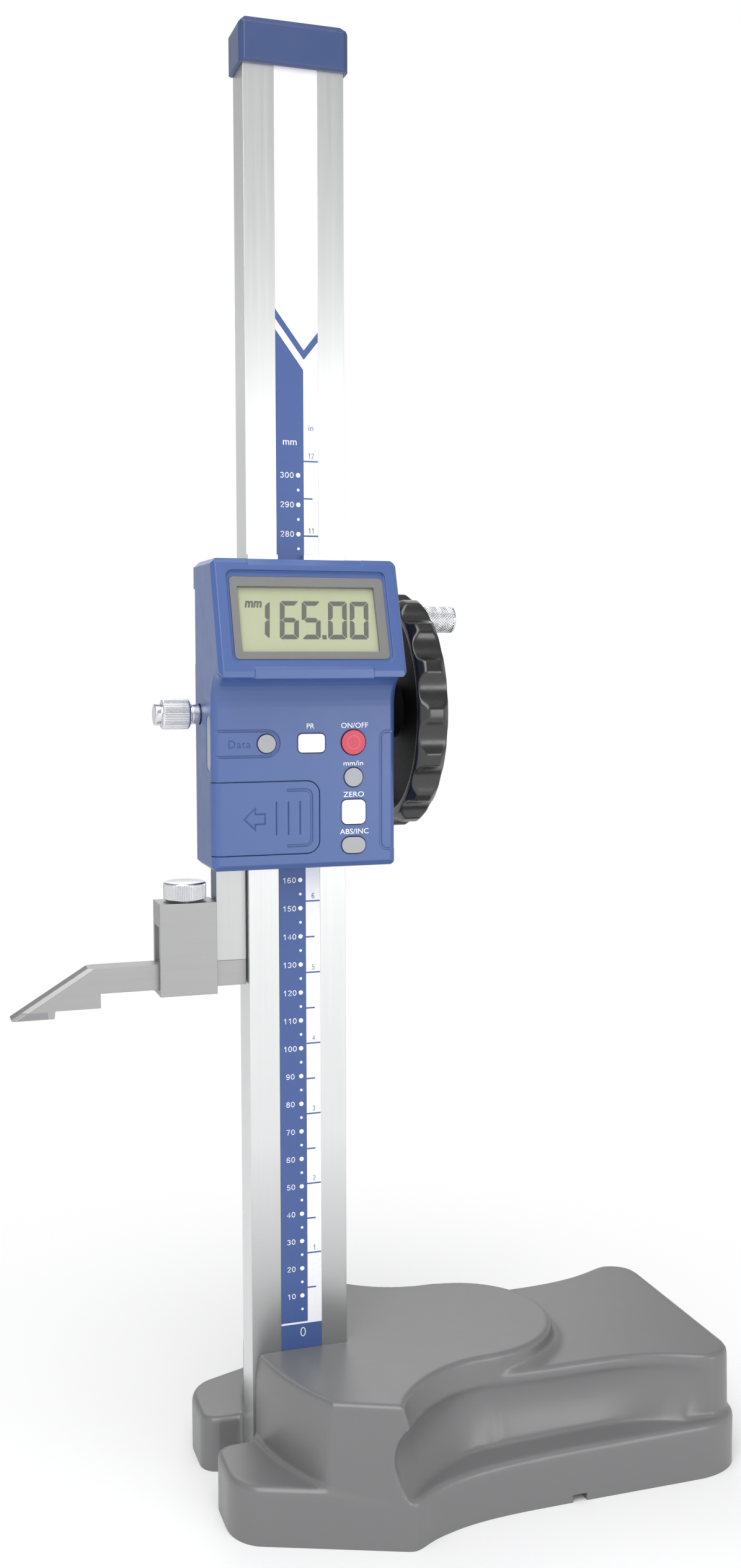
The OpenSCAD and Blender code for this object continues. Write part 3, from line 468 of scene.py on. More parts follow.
class Drawing:
    """Thin flat shapes on a plane, gathered into one piece. lift is how far they stand off it."""

    def __init__(self, matrix, lift, thick=0.03):
        self.matrix, self.levels = matrix, (lift - thick, lift)
        self.points, self.faces = [], []

    def add(self, points, faces):
        first = len(self.points)
        self.points += [self.matrix @ Vector(p) for p in points]
        self.faces += [[first + i for i in face] for face in faces]

    def polygon(self, outline):
        """A closed outline as a plate of the drawing's thickness."""
        n = len(outline)
        self.add([(x, y, z) for z in self.levels for x, y in outline],
                 skin(2, n) + [range(n), range(n, 2 * n)])

    def box(self, x0, x1, y0, y1):
        self.polygon([(x0, y0), (x1, y0), (x1, y1), (x0, y1)])

    def disc(self, x, y, r):
        self.polygon(oval(x, y, r, r))

    def ring(self, x, y, r, width):
        back, front = self.levels
        inner, outer, sides = r - width / 2, r + width / 2, 48
        edges = ((inner, back), (outer, back), (outer, front), (inner, front))
        self.add([(*p, z) for radius, z in edges for p in oval(x, y, radius, radius, sides)],
                 skin(4, sides, closed=True))

    def text(self, words, x, y, height, width=None, weight=0.0, spacing=1.0, slant=0.0):
        """Words in Blender's own typeface with their middle at x, standing on y."""
        curve = bpy.data.curves.new("words", "FONT")
        curve.body, curve.space_character, curve.shear = words, spacing, slant
        curve.offset, curve.extrude, curve.resolution_u = weight, 0.01, 3
        holder = placed("words", curve)
        ready = holder.evaluated_get(bpy.context.evaluated_depsgraph_get())
        mesh = bpy.data.meshes.new_from_object(ready)
        xs, ys, zs = zip(*(v.co for v in mesh.vertices))
        left, foot = min(xs), min(ys)
        tall = height / (max(ys) - foot)
        wide = width / (max(xs) - left) if width else tall
        start = x - 0.5 * wide * (max(xs) - left)
        points = [(start + (px - left) * wide, y + (py - foot) * tall, self.levels[pz > 0])
                  for px, py, pz in zip(xs, ys, zs)]
        self.add(points, [p.vertices for p in mesh.polygons])
        bpy.data.objects.remove(holder)
        bpy.data.meshes.remove(mesh)
        bpy.data.curves.remove(curve)

    def ribbon(self, line, width, closed):
        """A stroke of even width along a line of points."""
        n = len(line)
        back, front = self.levels
        points = []
        for i, here in enumerate(line):
            before = line[i - 1] if i or closed else here
            after = line[(i + 1) % n] if i < n - 1 or closed else here
            along = (Vector(after) - Vector(before)).normalized()
            across = Vector((-along.y, along.x)) * width / 2
            left, right = Vector(here) + across, Vector(here) - across
            points += [(*right, back), (*left, back), (*left, front), (*right, front)]
        ends = [] if closed else [range(4), range(4 * n - 4, 4 * n)]
        self.add(points, skin(n, 4, closed) + ends)

    def number(self, value, x, y, height, stretch=1.0, weight=0.12):
        """A number in plain numerals centred on x and standing on y. stretch widens it."""
        words = str(value)
        wide = height * stretch
        start = x - wide * (NUMERAL_PITCH * (len(words) - 1) + NUMERAL_WIDTH) / 2
        for k, digit in enumerate(words):
            for line, closed in NUMERALS[digit]:
                at = [(start + (k * NUMERAL_PITCH + px) * wide, y + py * height) for px, py in line]
                self.ribbon(at, weight * height, closed)

    def make(self, name, finish, body):
        piece(name, self.points, self.faces, finish, body)


def revolve(profile, around, place, radius_at=None):
    """Points and faces of a profile turned about the local Z axis.

    profile is a closed loop of (r, z). place maps a local point to the frame. radius_at(r, z, turn)
    gives the radius at a turn of 0 to 1, where it changes round the part.
    """
    points = []
    for k in range(around):
        turn = k / around
        a = math.tau * turn
        for r, z in profile:
            radius = radius_at(r, z, turn) if radius_at else r
            points.append(place(Vector((radius * math.cos(a), radius * math.sin(a), z))))
    return points, skin(around, len(profile), closed=True)


def along_x(y, z):
    """Places a turned part's local Z axis along X, through y and z."""
    return lambda p: Vector((p.z, p.x + y, p.y + z)) * MM


def along_z(x, y):
    """Places a turned part's local Z axis upright, through x and y."""
    return lambda p: Vector((p.x + x, p.y + y, p.z)) * MM


# Base casting

# Tops of the flange, the front block and the rear block, and how deep the flange starts
PLINTH_H = 20.2
FRONT_H = 50.0
REAR_H = 42.9
ROOT = 3.0
# Half width of the slot between the toes
SLOT_HALF = 9.3
# The front block's nose is an arc, and its flat front face looks this way
NOSE_X = 74.3
NOSE_R = 91.15
FLAT_WAY = Vector((0.9293, -0.3694))
# The round lobe, and the fillet round its foot as steps out from it and up from the rear block
LOBE_X = 65.3
LOBE_R = 33.8
REAR_HALF = 34.0
FILLET_R = 33.2
FILLET_TURN = 86
FILLET = [(4.2, 0.02), (2.6, 0.3), (1.4, 0.95), (0.6, 1.9), (0.15, 3.0), (-1.5, 3.0), (-1.5, -1),
          (4.2, -0.6)]
# How far the blocks' and the flange's top edges are rounded
BLOCK_EDGE = 1.4
FLANGE_EDGE = [(-2.2, 0), (-1.2, -0.25), (-0.4, -0.8), (0, -1.7)]
SLOT_EDGE = [(-1.6, 0), (-0.6, 0.35), (0, 1.1), (2, 3)]
# The column's pocket, the screws under it and the slot across the underside
POCKET_GAP = 0.08
SCREW_X = 9
SCREW_R = 3.2
SINK_R = 5.4
SINK_H = 4.4
TIE_SLOT = (87.6, 93.0)
TIE_SLOT_H = 2.7
# Grain of the mesh that softens the casting
VOXEL = 0.85
# Corners of half an outline: x, y, foot flare, hollow depth, foot height, lip height and draft.
# The nose has one wall all along its arc, and the rear wall has one draft.
NOSE_WALL = (0, 0, 19, 41.6, 1.2)
SCOOP_END = (71.2, -33.3, 2.0, 4.0, 19.2, 39.4, 0.6)
FRONT_SCOOP = [
    (22.8, -60.85, 0, 5.2, 16.8, 41.8, 1.8), (26.6, -55.9, 0.9, 4.4, 16.9, 41.6, 2.9),
    (31.2, -50.6, 2.1, 3.8, 17.3, 41.3, 3.0), (36.0, -46.0, 3.3, 3.3, 17.8, 41.1, 2.8),
    (41.2, -42.0, 4.4, 3.0, 18.1, 40.8, 2.5), (46.8, -38.6, 5.3, 2.8, 18.3, 40.5, 1.9),
    (52.8, -36.2, 6.2, 2.7, 18.5, 40.2, 1.3), (59.0, -34.9, 7.0, 2.6, 18.8, 39.9, 0.9),
    (65.4, -34.5, 7.0, 2.6, 19.0, 39.6, 0.8)]
REAR_DRAFT = 0.2
REAR_WALL = [
    (48, -24, 0, 0, 19, 39.4), (58, -33.6, 6.4, 2.4, 19, 39.5),
    (66, -34.5, 7.0, 2.6, 19, 39.5), (74, -34.7, 6.9, 2.7, 19.2, 39.3),
    (82, -34.8, 6.6, 2.8, 19.4, 39.2), (90, -34.9, 6.2, 2.8, 19.6, 39.2),
    (100, -34.9, 5.9, 2.8, 19.7, 39.2), (108, -35.1, 5.9, 2.8, 19.8, 39.2),
    (115, -35.7, 6.2, 2.8, 19.9, 39.2), (121, -36.6, 6.8, 2.8, 20, 39.2),
    (127, -37.9, 7.8, 2.8, 20, 39.2), (132, -39.5, 8.6, 2.7, 20, 39.1),
    (136.5, -41.3, 8.2, 2.2, 20, 38.9), (140, -42.9, 4.6, 1.2, 20, 38.6),
    (143, -44.1, 1.6, 0.3, 20, 38.4), (146, -44.6, 1, 0, 20, 38.4),
    (149.4, -43.8, 0.8, 0, 20, 38.4), (152.8, -41.7, 0.8, 0, 20, 38.4),
    (155.3, -38.4, 0.8, 0, 20, 38.4), (156.2, -34, 0.8, 0, 20, 38.4)]
# The flange: x, y and how far its top lies below PLINTH_H
PLINTH = [
    (-32.2, -27.5, 0), (-31.9, -31.2, 0), (-30.6, -35.2, 0), (-28.5, -38.6, 0), (-25.4, -41.4, 0),
    (-22, -43, 0), (-3, -50.54, 0), (6, -54.12, 1.2), (22.2, -60.55, 3), (24.2, -61.1, 3),
    (26, -60.9, 3), (28.4, -59.7, 2.8), (31.4, -57.9, 2.6), (35.4, -56, 2.3), (40, -54.4, 2),
    (47, -52.5, 1.8), (56, -51.1, 1.5), (68, -50.3, 1.1), (85, -50.1, 0.6), (110, -50.1, 0.3),
    (136, -50.1, 0), (142, -49.8, 0), (147, -48.6, 0), (151.6, -46.4, 0), (155.2, -43.2, 0),
    (157.4, -38.8, 0), (158.1, -33, 0)]


def curve_through(rows, steps):
    """A smooth line through rows of numbers, with every row kept."""
    out = []
    for i in range(len(rows) - 1):
        a, b, c, d = (rows[max(0, min(len(rows) - 1, k))] for k in (i - 1, i, i + 1, i + 2))
        for k in range(steps):
            t = k / steps
            out.append(tuple(
                0.5 * (2 * q + (r - p) * t + (2 * p - 5 * q + 4 * r - u) * t * t
                       + (3 * q - p - 3 * r + u) * t ** 3) for p, q, r, u in zip(a, b, c, d)))
    return out + [tuple(rows[-1])]


def straight(a, b, steps):
    """Even steps from a towards b, without b itself."""
    return [tuple(p + (q - p) * k / steps for p, q in zip(a, b)) for k in range(steps)]


def arc_rows(x, r, start, end, steps, rest):
    """Corners along an arc round (x, 0), each with the same rest of its row."""
    turns = [math.radians(start + (end - start) * k / steps) for k in range(steps + 1)]
    return [(x + r * math.cos(a), r * math.sin(a), *rest) for a in turns]


def outward(half):
    """Mitred outward normals of half an outline whose other half mirrors it."""
    full = [Vector(p[:2]) for p in half] + [Vector((p[0], -p[1])) for p in reversed(half)]
    out = []
    for i in range(len(half)):
        a, b = ((full[k + 1] - full[k]).normalized() for k in (i - 1, i))
        a, b = Vector((a.y, -a.x)), Vector((b.y, -b.x))
        out.append((a + b) / max(0.5, 1 + a.dot(b)))
    return out


def stack(name, rows):
    """A closed solid between stacked half outlines of (x, y, z), each mirrored about Y = 0."""
    n, m = 2 * len(rows[0]), len(rows)
    points = []
    for row in rows:
        points += [mm(*p) for p in row] + [mm(x, -y, z) for x, y, z in reversed(row)]
    faces = skin(m, n)
    for start in (0, (m - 1) * n):
        faces += [[start + k, start + k + 1, start + n - 2 - k, start + n - 1 - k]
                  for k in range(n // 2 - 1)]
    return helper(name, points, faces)


def helper(name, points, faces):
    """A solid that the casting is made from, and that is deleted after it."""
    return placed(name, closed_mesh(name, points, faces))


def block(name, half, flat, top):
    """A side block with a hollowed wall and a rounded top edge.

    flat holds each corner's place along the flat front face from 0 to 1, or None off that face.
    The wall runs out to a flare at its foot, sinks into a hollow above it and ends at a lip.
    """
    normals = outward(half)

    def row(shift_of, z_of):
        return [(q[0] + v.x, q[1] + v.y, z_of(q)) for q, v in
                ((q, shift_of(q, n, f)) for q, n, f in zip(half, normals, flat))]

    def hollow(t):
        flare = 0.54 * (1 - t) ** 1.1
        depth = max(0.0, math.sin(math.pi * min(1.0, t) ** 1.27)) ** 0.65
        return row(lambda q, n, f: (n if f is None else FLAT_WAY) * (
            q[2] * flare - q[3] * depth * (1 - 0.4 * min(1.0, q[2] / 6))),
            lambda q: q[4] + (q[5] - q[4]) * t)

    def crown(turn):
        def moved(q, n, f):
            draft = n * -q[6] if f is None else FLAT_WAY * (1 - f * (1 + q[6]))
            return draft - n * BLOCK_EDGE * (1 - math.cos(turn))
        return row(moved, lambda q: top - BLOCK_EDGE * (1 - math.sin(turn)))

    rows = [row(lambda q, n, f: n * -1.5 if f is None else Vector((0, 0)), lambda q: 8.0)]
    rows += [hollow(0.5 - 0.5 * math.cos(math.pi * k / 32)) for k in range(33)]
    rows += [crown(math.pi / 2 * k / 6) for k in range(7)]
    return stack(name, rows)


def front_block():
    """The block that holds the column, with its round lobe behind it."""
    nose = arc_rows(NOSE_X, NOSE_R, 184.7, 213.2, 32, NOSE_WALL)
    face = straight(nose[-1], FRONT_SCOOP[0], 10)
    scoop = curve_through(FRONT_SCOOP + [SCOOP_END], 6)[:-1]
    depth, wall = SCOOP_END[3], SCOOP_END[4:]
    lobe = [(*corner, 0, max(0.0, depth - k * 0.5), *wall) for k, corner in
            enumerate(arc_rows(LOBE_X, LOBE_R, -80, -3, 40, ()))]
    half = nose[:-1] + face + scoop + lobe
    flat = [None] * (len(nose) - 1) + [k / 10 for k in range(11)]
    flat += [None] * (len(half) - len(flat))
    return block("front_block", half, flat, FRONT_H)


def rear_block():
    half = curve_through([(*corner, REAR_DRAFT) for corner in REAR_WALL], 6)
    return block("rear_block", half, [None] * len(half), REAR_H)


def flange():
    """The low flange round the whole base. Its toes have straight sides and the rest is curved."""
    half = curve_through(PLINTH[:6], 4)[:-1]
    for k, steps in ((5, 6), (6, 4), (7, 6)):
        half += straight(PLINTH[k], PLINTH[k + 1], steps)
    half += curve_through(PLINTH[8:], 5)
    normals = outward(half)
    levels = [(-ROOT, 0, 0)] + [(PLINTH_H + rise, side, 1) for rise, side in FLANGE_EDGE]
    return stack("flange", [
        [(p[0] + n.x * side, p[1] + n.y * side, z - p[2] * dip) for p, n in zip(half, normals)]
        for z, side, dip in levels])


def arm_slot():
    """What is cut out between the toes, where the arm sinks in."""
    half = [(-45, -17), (-32.4, -17), (-31.9, -14), (-30.7, -11.7), (-28.8, -10.1),
            (-26.2, -SLOT_HALF), (low("beam").x, -SLOT_HALF)]
    levels = [(-ROOT - 1, 0)] + [(PLINTH_H + rise, wide) for rise, wide in SLOT_EDGE]
    return stack("slot", [[(x, y - (wide if k else 0), z) for k, (x, y) in enumerate(half)]
                          for z, wide in levels])


def lobe_fillet():
    """The hollow blend where the lobe rises from the rear block, narrowed where the wall is near."""
    count, n = 64, len(FILLET)
    points = []
    for k in range(count + 1):
        a = math.radians(-FILLET_TURN + 2 * FILLET_TURN * k / count)
        room = min(1.0, (REAR_HALF / max(0.1, abs(math.sin(a))) - FILLET_R) / FILLET[0][0])
        for step, rise in FILLET:
            r = FILLET_R + (step * room if step > 0 else step)
            z = REAR_H + (rise * room if rise > 0 else rise)
            points.append(mm(LOBE_X + r * math.cos(a), r * math.sin(a), z))
    ends = [range(n), range(count * n, count * n + n)]
    return helper("lobe_fillet", points, skin(count + 1, n) + ends)


def cut_box(name, x, y, z):
    return helper(name, box_corners(x, y, z), BOX_FACES)


def cut_bore(name, x, r, z0, z1):
    points, faces = revolve([(0, z0), (r, z0), (r, z1), (0, z1)], 32, along_z(x, 0))
    return helper(name, points, faces)


def machined():
    """What is cut from the softened casting: its flat foot, the column's pocket, screws and slot."""
    beam0, beam1, gap = low("beam"), high("beam"), POCKET_GAP
    cuts = [cut_box("under", (-60, 200), (-80, 80), (-10, 0)),
            cut_box("pocket", (beam0.x - gap, beam1.x + gap), (beam0.y - gap, beam1.y + gap),
                    (beam0.z, FRONT_H + 5)),
            cut_box("tie_slot", TIE_SLOT, (-80, 80), (-1, TIE_SLOT_H))]
    for x in (-SCREW_X, SCREW_X):
        cuts += [cut_bore("screw_bore", x, SCREW_R, -1, beam0.z + 1),
                 cut_bore("screw_sink", x, SINK_R, -1, SINK_H)]
    return cuts


def join(solid, other, way):
    step = solid.modifiers.new("join", "BOOLEAN")
    step.solver, step.operation, step.object = "MANIFOLD", way, other


def base_casting():
    """The cast base: blocks joined and softened as a casting is, then machined flat and bored."""
    casting, slot, cuts = flange(), arm_slot(), machined()
    blocks = [front_block(), rear_block(), lobe_fillet()]
    for solid in blocks:
        join(casting, solid, "UNION")
    join(casting, slot, "DIFFERENCE")
    remesh = casting.modifiers.new("cast", "REMESH")
    remesh.mode, remesh.voxel_size = "VOXEL", VOXEL * MM
    soft = casting.modifiers.new("soft", "SMOOTH")
    soft.factor, soft.iterations = 0.5, 2
    for cut in cuts:
        join(casting, cut, "DIFFERENCE")
    ready = casting.evaluated_get(bpy.context.evaluated_depsgraph_get())
    mesh = bpy.data.meshes.new_from_object(ready)
    end_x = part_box("base")[1].x
    points = [Vector((min(v.co.x, end_x), v.co.y, v.co.z)) for v in mesh.vertices]
    faces = [list(p.vertices) for p in mesh.polygons]
    bpy.data.meshes.remove(mesh)
    for solid in (casting, slot, *blocks, *cuts):
        data = solid.data
        bpy.data.objects.remove(solid)
        bpy.data.meshes.remove(data)
    piece("base_casting", points, faces, FINISH["cast_grey"], "stand", smooth=42,
          replaces=["base"])


# Printed scale

STRIP_X0 = STRIP[0].x
STRIP_X1 = STRIP[1].x
# Where the blue field ends along X and where the scale's zero line is
WHITE_X = 2.98
ZERO_Z = 59.4
ZERO_GAP = 0.35
FIELD_TOP = (408.2, 395.0)
# The chevron over the field, as the strip's left edge, its point and the strip's right edge
CHEVRON_X = (STRIP_X0, 3.2, STRIP_X1)
CHEVRON_LOW = (411.7, 398.4, 404.6)
CHEVRON_HIGH = (415.0, 401.6, 407.9)
INCH = 25.4
TICK_HALF = 0.26
SHORT_TICK_X = 6.1
INCH_X = 5.6
DOT_X = 1.0
DOT_R = (0.47, 0.78)


def scale_print():
    """The scale's blue field with its chevron and inch ticks, its dots and its numbers."""
    blue = Drawing(ON_STRIP, 0.03)
    blue.polygon([(STRIP_X0, ZERO_Z + ZERO_GAP), (WHITE_X, ZERO_Z + ZERO_GAP), (WHITE_X, FIELD_TOP[1]),
                  (STRIP_X0, FIELD_TOP[0])])
    blue.box(STRIP_X0, STRIP_X1, STRIP[0].z, ZERO_Z - ZERO_GAP)
    lower, upper = zip(CHEVRON_X, CHEVRON_LOW), zip(CHEVRON_X, CHEVRON_HIGH)
    blue.polygon([*lower, *reversed(list(upper))])
    for half in range(1, 25):
        z = ZERO_Z + half * INCH / 2
        blue.box(WHITE_X, SHORT_TICK_X if half % 2 else STRIP_X1 - 0.1, z - TICK_HALF, z + TICK_HALF)
    blue.make("scale_blue_field", PRINTS["blue"], "stand")

    white = Drawing(ON_STRIP, 0.06)
    for five in range(1, 61):
        z, whole = ZERO_Z + 5 * five, five % 2 == 0
        white.disc(DOT_X, z, DOT_R[whole])
        if whole:
            white.number(5 * five, DOT_X - 4.0, z - 0.98, 1.96, stretch=1.42, weight=0.115)
    white.number(0, 1.2, 54.2, 3.5, stretch=1.2, weight=0.085)
    white.text("mm", -1.9, 369.6, 1.55)
    white.make("scale_numbers", PRINTS["white"], "stand")

    slate = Drawing(ON_STRIP, 0.06)
    for inch in range(1, 13):
        slate.number(inch, INCH_X, ZERO_Z + inch * INCH + 0.9, 1.9)
    slate.text("in", INCH_X, 374.6, 1.9)
    slate.make("scale_inch_numbers", PRINTS["numerals"], "stand")


# Display

# The bars that light up in each digit, and where each digit shown stands along X
SEGMENTS = {"0": "abcdef", "1": "bc", "5": "acdfg", "6": "acdefg"}
READING = [("1", -19.8), ("6", -9.75), ("5", -2.2), ("0", 7.0), ("0", 14.65)]
POINT_X = (3.8, 5.3)
DIGIT_W = 6.6
DIGIT_H = 13.5
DIGIT_TOP = -14.05
DIGIT_DEPTH = 2.415
DIGIT_CORNER = 0.7
SEGMENT = 1.65
SEGMENT_GAP = 0.11
# How far a digit leans to the right for each millimetre of height
LEAN = 0.09


def segment_outline(name):
    """One bar of a seven-bar digit, inside a box of DIGIT_W by DIGIT_H."""
    w, h, t, gap = DIGIT_W, DIGIT_H, SEGMENT, SEGMENT_GAP
    mid, near, far = h / 2, (DIGIT_CORNER - gap) / 2, (DIGIT_CORNER + gap) / 2
    bars = {
        "a": [(DIGIT_CORNER, h), (far, h - near), (t + gap, h - t), (w - t - gap, h - t),
              (w - far, h - near), (w - DIGIT_CORNER, h)],
        "g": [(t * 0.5 + gap, mid), (t + gap, mid - t / 2), (w - t - gap, mid - t / 2),
              (w - t * 0.5 - gap, mid), (w - t - gap, mid + t / 2), (t + gap, mid + t / 2)],
        "f": [(0, h - DIGIT_CORNER), (0, mid + gap), (t * 0.5, mid + gap),
              (t, mid + t / 2 + gap), (t, h - t - gap), (near, h - far)],
    }
    bars["d"] = [(x, h - y) for x, y in bars["a"]]
    bars["e"] = [(x, h - y) for x, y in bars["f"]]
    bars["b"] = [(w - x, y) for x, y in bars["f"]]
    bars["c"] = [(w - x, y) for x, y in bars["e"]]
    outline = bars[name]
    area = sum(a[0] * b[1] - b[0] * a[1] for a, b in zip(outline, outline[1:] + outline[:1]))
    return outline if area > 0 else outline[::-1]


def display_digits():
    """The reading and its unit on the display, under the window."""
    digits = Drawing(ON_SLOPE, -DIGIT_DEPTH, 0.02)
    foot = DIGIT_TOP - DIGIT_H
    for digit, x in READING:
        for bar in SEGMENTS[digit]:
            digits.polygon([(x + px - LEAN * (DIGIT_H - py), foot + py)
                            for px, py in segment_outline(bar)])
    digits.box(*POINT_X, foot, foot + POINT_X[1] - POINT_X[0])
    digits.text("mm", -19.0, -16.5, 2.4, width=6.0, slant=0.25, weight=0.04)
    digits.make("display_digits", PRINTS["digits"], "slider")


# Lettering on the button face

# Words with their middle, foot, height and width, where the width isn't left to the typeface
LABELS = [("PR", 1.3, 273.0, 1.75, None), ("ON/OFF", 17.0, 273.0, 1.8, 9.6),
          ("mm/in", 16.5, 260.1, 1.7, 7.0), ("ZERO", 16.6, 249.3, 1.8, 7.4),
          ("ABS/INC", 16.8, 236.5, 1.8, 10.3)]


def button_labels():
    """White words over the buttons, the debossed word beside the data button in darker blue as painted
    shade, and the power button's ring.
    """
    words = Drawing(ON_FACE, 0.02)
    for label in LABELS:
        words.text(*label)
    words.make("button_labels", PRINTS["white"], "slider")
    # The debossed word is drawn flat in darker blue, as painted shade.
    sunk = Drawing(ON_FACE, 0.01)
    sunk.text("Data", -23.4, 266.7, 2.7, width=7.6, spacing=1.1)
    sunk.make("data_label", PRINTS["sunk"], "slider")
    power = (low("power_button") + high("power_button")) / 2
    rim = Drawing(ON_FACE, 0.56, 0.08)
    rim.ring(power.x, power.z, 2.27, 0.35)
    rim.make("power_ring", PRINTS["rim"], "power_button")


# Turned and knurled parts

def saw(t):
    """A ridge that is 0 at its foot and 1 at its crest, once a turn of t."""
    return 1 - abs(2 * (t % 1.0) - 1)


def filled(profile, step):
    """The profile's long stretches cut into steps, so that a knurl has points to stand on."""
    out = []
    for (r0, z0), (r1, z1) in zip(profile, profile[1:] + profile[:1]):
        count = max(1, math.ceil(abs(z1 - z0) / step))
        out += [(r0 + (r1 - r0) * k / count, z0 + (z1 - z0) * k / count) for k in range(count)]
    return out


def fillet(profile, radius, steps=4):
    """A closed profile with its corners rounded."""
    out = []
    for i, p in enumerate(profile):
        here, before, after = Vector(p), Vector(profile[i - 1]), Vector(profile[(i + 1) % len(profile)])
        reach = min(radius, 0.42 * (before - here).length, 0.42 * (after - here).length)
        if here.x == 0:
            out.append(p)
            continue
        a = here + (before - here).normalized() * reach
        b = here + (after - here).normalized() * reach
        for k in range(steps + 1):
            t = k / steps
            out.append(tuple(a * (1 - t) ** 2 + here * 2 * t * (1 - t) + b * t * t))
    return out


def soft_least(a, b, blend):
    """The smaller of two lengths, rounded off where they are close."""
    return -blend * math.log(math.exp(-a / blend) + math.exp(-b / blend))


# The wheel's finger hollows: their number, their radius and how far out from the crest they centre
GRIPS = 16
GRIP_R = 8.6
GRIP_OUT = 5.8
# The rim's middle along X, and its half widths at its root and at its crest
RIM_X = 43.8
RIM_HALF = 5.3
CREST_HALF = 2.85


def hand_wheel():
    """The dished wheel, with finger hollows that run out softly into the rim."""
    crest = high("hand_wheel").z - AXIS_Z
    a, b = RIM_X - RIM_HALF, RIM_X + RIM_HALF
    profile = [(4, a - 2), (9, a - 2), (9.6, a - 1.4), (10, RIM_X - 0.5), (33, RIM_X + 0.6),
               (36.2, RIM_X - 2.4), (36.6, a + 0.6), (37.2, a), (40.1, a),
               (crest, RIM_X - CREST_HALF), (crest, RIM_X + CREST_HALF), (40.1, b), (37.4, b),
               (35.4, RIM_X + 3.6), (10, RIM_X + 2.6), (9.4, b + 0.6), (4, b + 0.6)]

    def scoop(r, _, turn):
        if r < RIM_R:
            return r
        aside = math.tau * (turn * GRIPS % 1 - 0.5) / GRIPS
        away = (crest + GRIP_OUT) * math.sin(aside)
        if abs(away) >= GRIP_R:
            return r
        centre = (crest + GRIP_OUT) * math.cos(aside)
        return soft_least(r, centre - math.sqrt(GRIP_R ** 2 - away ** 2), 0.3)

    place = along_x(SHAFT_Y, AXIS_Z)
    points, faces = revolve(filled(fillet(profile, 0.7), 0.3), GRIPS * 24, place, scoop)
    pin = (low("crank_pin") + high("crank_pin")) / 2
    boss = [(1.52, RIM_X + 1), (3.4, RIM_X + 1), (3.4, RIM_X + 6), (1.52, RIM_X + 6)]
    more, sides = revolve(fillet(boss, 0.5), 48, along_x(pin.y, pin.z))
    faces += [[len(points) + i for i in side] for side in sides]
    piece("hand_wheel_rim", points + more, faces, FINISH["wheel_black"], "hand_wheel",
          smooth=38, replaces=["hand_wheel"])


def knurl(profile, place, teeth, depth, low_z, high_z, least):
    """A turned part with straight ridges where it is wider than least, between two heights."""
    def cut(r, z, turn):
        if r < least or not low_z < z < high_z:
            return r
        return r - depth * (1 - min(1.0, 1.5 * saw(turn * teeth)))
    return revolve(filled(profile, 0.5), teeth * 6, place, cut)


def lock_screw():
    """Clamping screw with a coarse straight knurl and a stepped end."""
    end = low("lock_screw").x
    profile = [(0, 0), (3.4, 0), (3.75, 0.35), (3.75, 2.1), (3.55, 2.5), (4.6, 2.5), (5.15, 3),
               (5.15, 11.7), (4.6, 12.2), (3, 12.2), (3, 12.9), (3.5, 12.9), (3.5, 15.6), (3, 15.6),
               (3, 28.1), (0, 28.1)]
    profile = [(r, end + x) for r, x in profile]
    points, faces = knurl(fillet(profile, 0.15, 2), along_x(0, AXIS_Z), teeth=38, depth=0.34,
                          low_z=end + 2.8, high_z=end + 11.9, least=4.9)
    piece("lock_screw_knurled", points, faces, FINISH["knob_steel"], "lock_screw",
          smooth=30, replaces=["lock_screw"])


def clamp_screw():
    """The clamp's thumb screw: fine straight knurl under a flat turned top."""
    top = high("clamp_screw").z
    x = (low("clamp_screw").x + high("clamp_screw").x) / 2
    profile = [(0, top - 15.3), (2, top - 15.3), (2.5, top - 14.8), (2.5, top - 6.2),
               (6.9, top - 6.2), (7.4, top - 5.7), (7.4, top - 0.6), (6.8, top), (0, top)]
    points, faces = knurl(fillet(profile, 0.15, 2), along_z(x, 0), teeth=74, depth=0.26,
                          low_z=top - 5.8, high_z=top - 0.5, least=7.1)
    piece("clamp_screw_knurled", points, faces, FINISH["knob_steel"], "clamp_screw",
          smooth=30, replaces=["clamp_screw"])


# The outer side of the arm's upright part
ARM_SIDE_X = -28.4


def arm_paint():
    """Blue paint on the arm's outer side, from the housing down to the clamp."""
    y = (low("measuring_arm").y, high("measuring_arm").y)
    z = (high("scriber_clamp").z + 0.4, COVER[0].z - 0.1)
    corners = box_corners((ARM_SIDE_X, ARM_SIDE_X - 0.1), y, z)
    piece("arm_side_paint", corners, BOX_FACES, FINISH["cap_blue"], "slider")


def crank_knob():
    """A steel sleeve with a diamond knurl between two smooth bands."""
    a, b = low("crank_knob"), high("crank_knob")
    x0, x1, r = a.x, b.x, (b.y - a.y) / 2
    outer = [(1.56, x0), (r - 0.45, x0), (r - 0.12, x0 + 0.16), (r, x0 + 0.5)]
    outer += [(r, x1 - 0.5), (r - 0.12, x1 - 0.16), (r - 0.45, x1), (3.1, x1), (3.1, x1 - 1.9),
              (1.56, x1 - 1.9)]
    count, depth, band = 30, 0.38, 0.9

    def cut(radius, at, turn):
        if radius < r - 0.02 or not x0 + band < at < x1 - band:
            return radius
        lean = (at - x0) * count / (math.tau * r)
        ridge = min(saw(turn * count + lean), saw(turn * count - lean))
        return radius - depth * (1 - min(1.0, ridge * 1.35))

    place = along_x((a.y + b.y) / 2, (a.z + b.z) / 2)
    points, faces = revolve(filled(outer, 0.16), count * 8, place, cut)
    piece("crank_knob_knurled", points, faces, FINISH["knob_steel"], "crank_knob",
          smooth=30, replaces=["crank_knob"])


dress_nodes()
base_casting()
scale_print()
display_digits()
button_labels()
hand_wheel()
crank_knob()
lock_screw()
clamp_screw()
arm_paint()


# Floor, light and camera

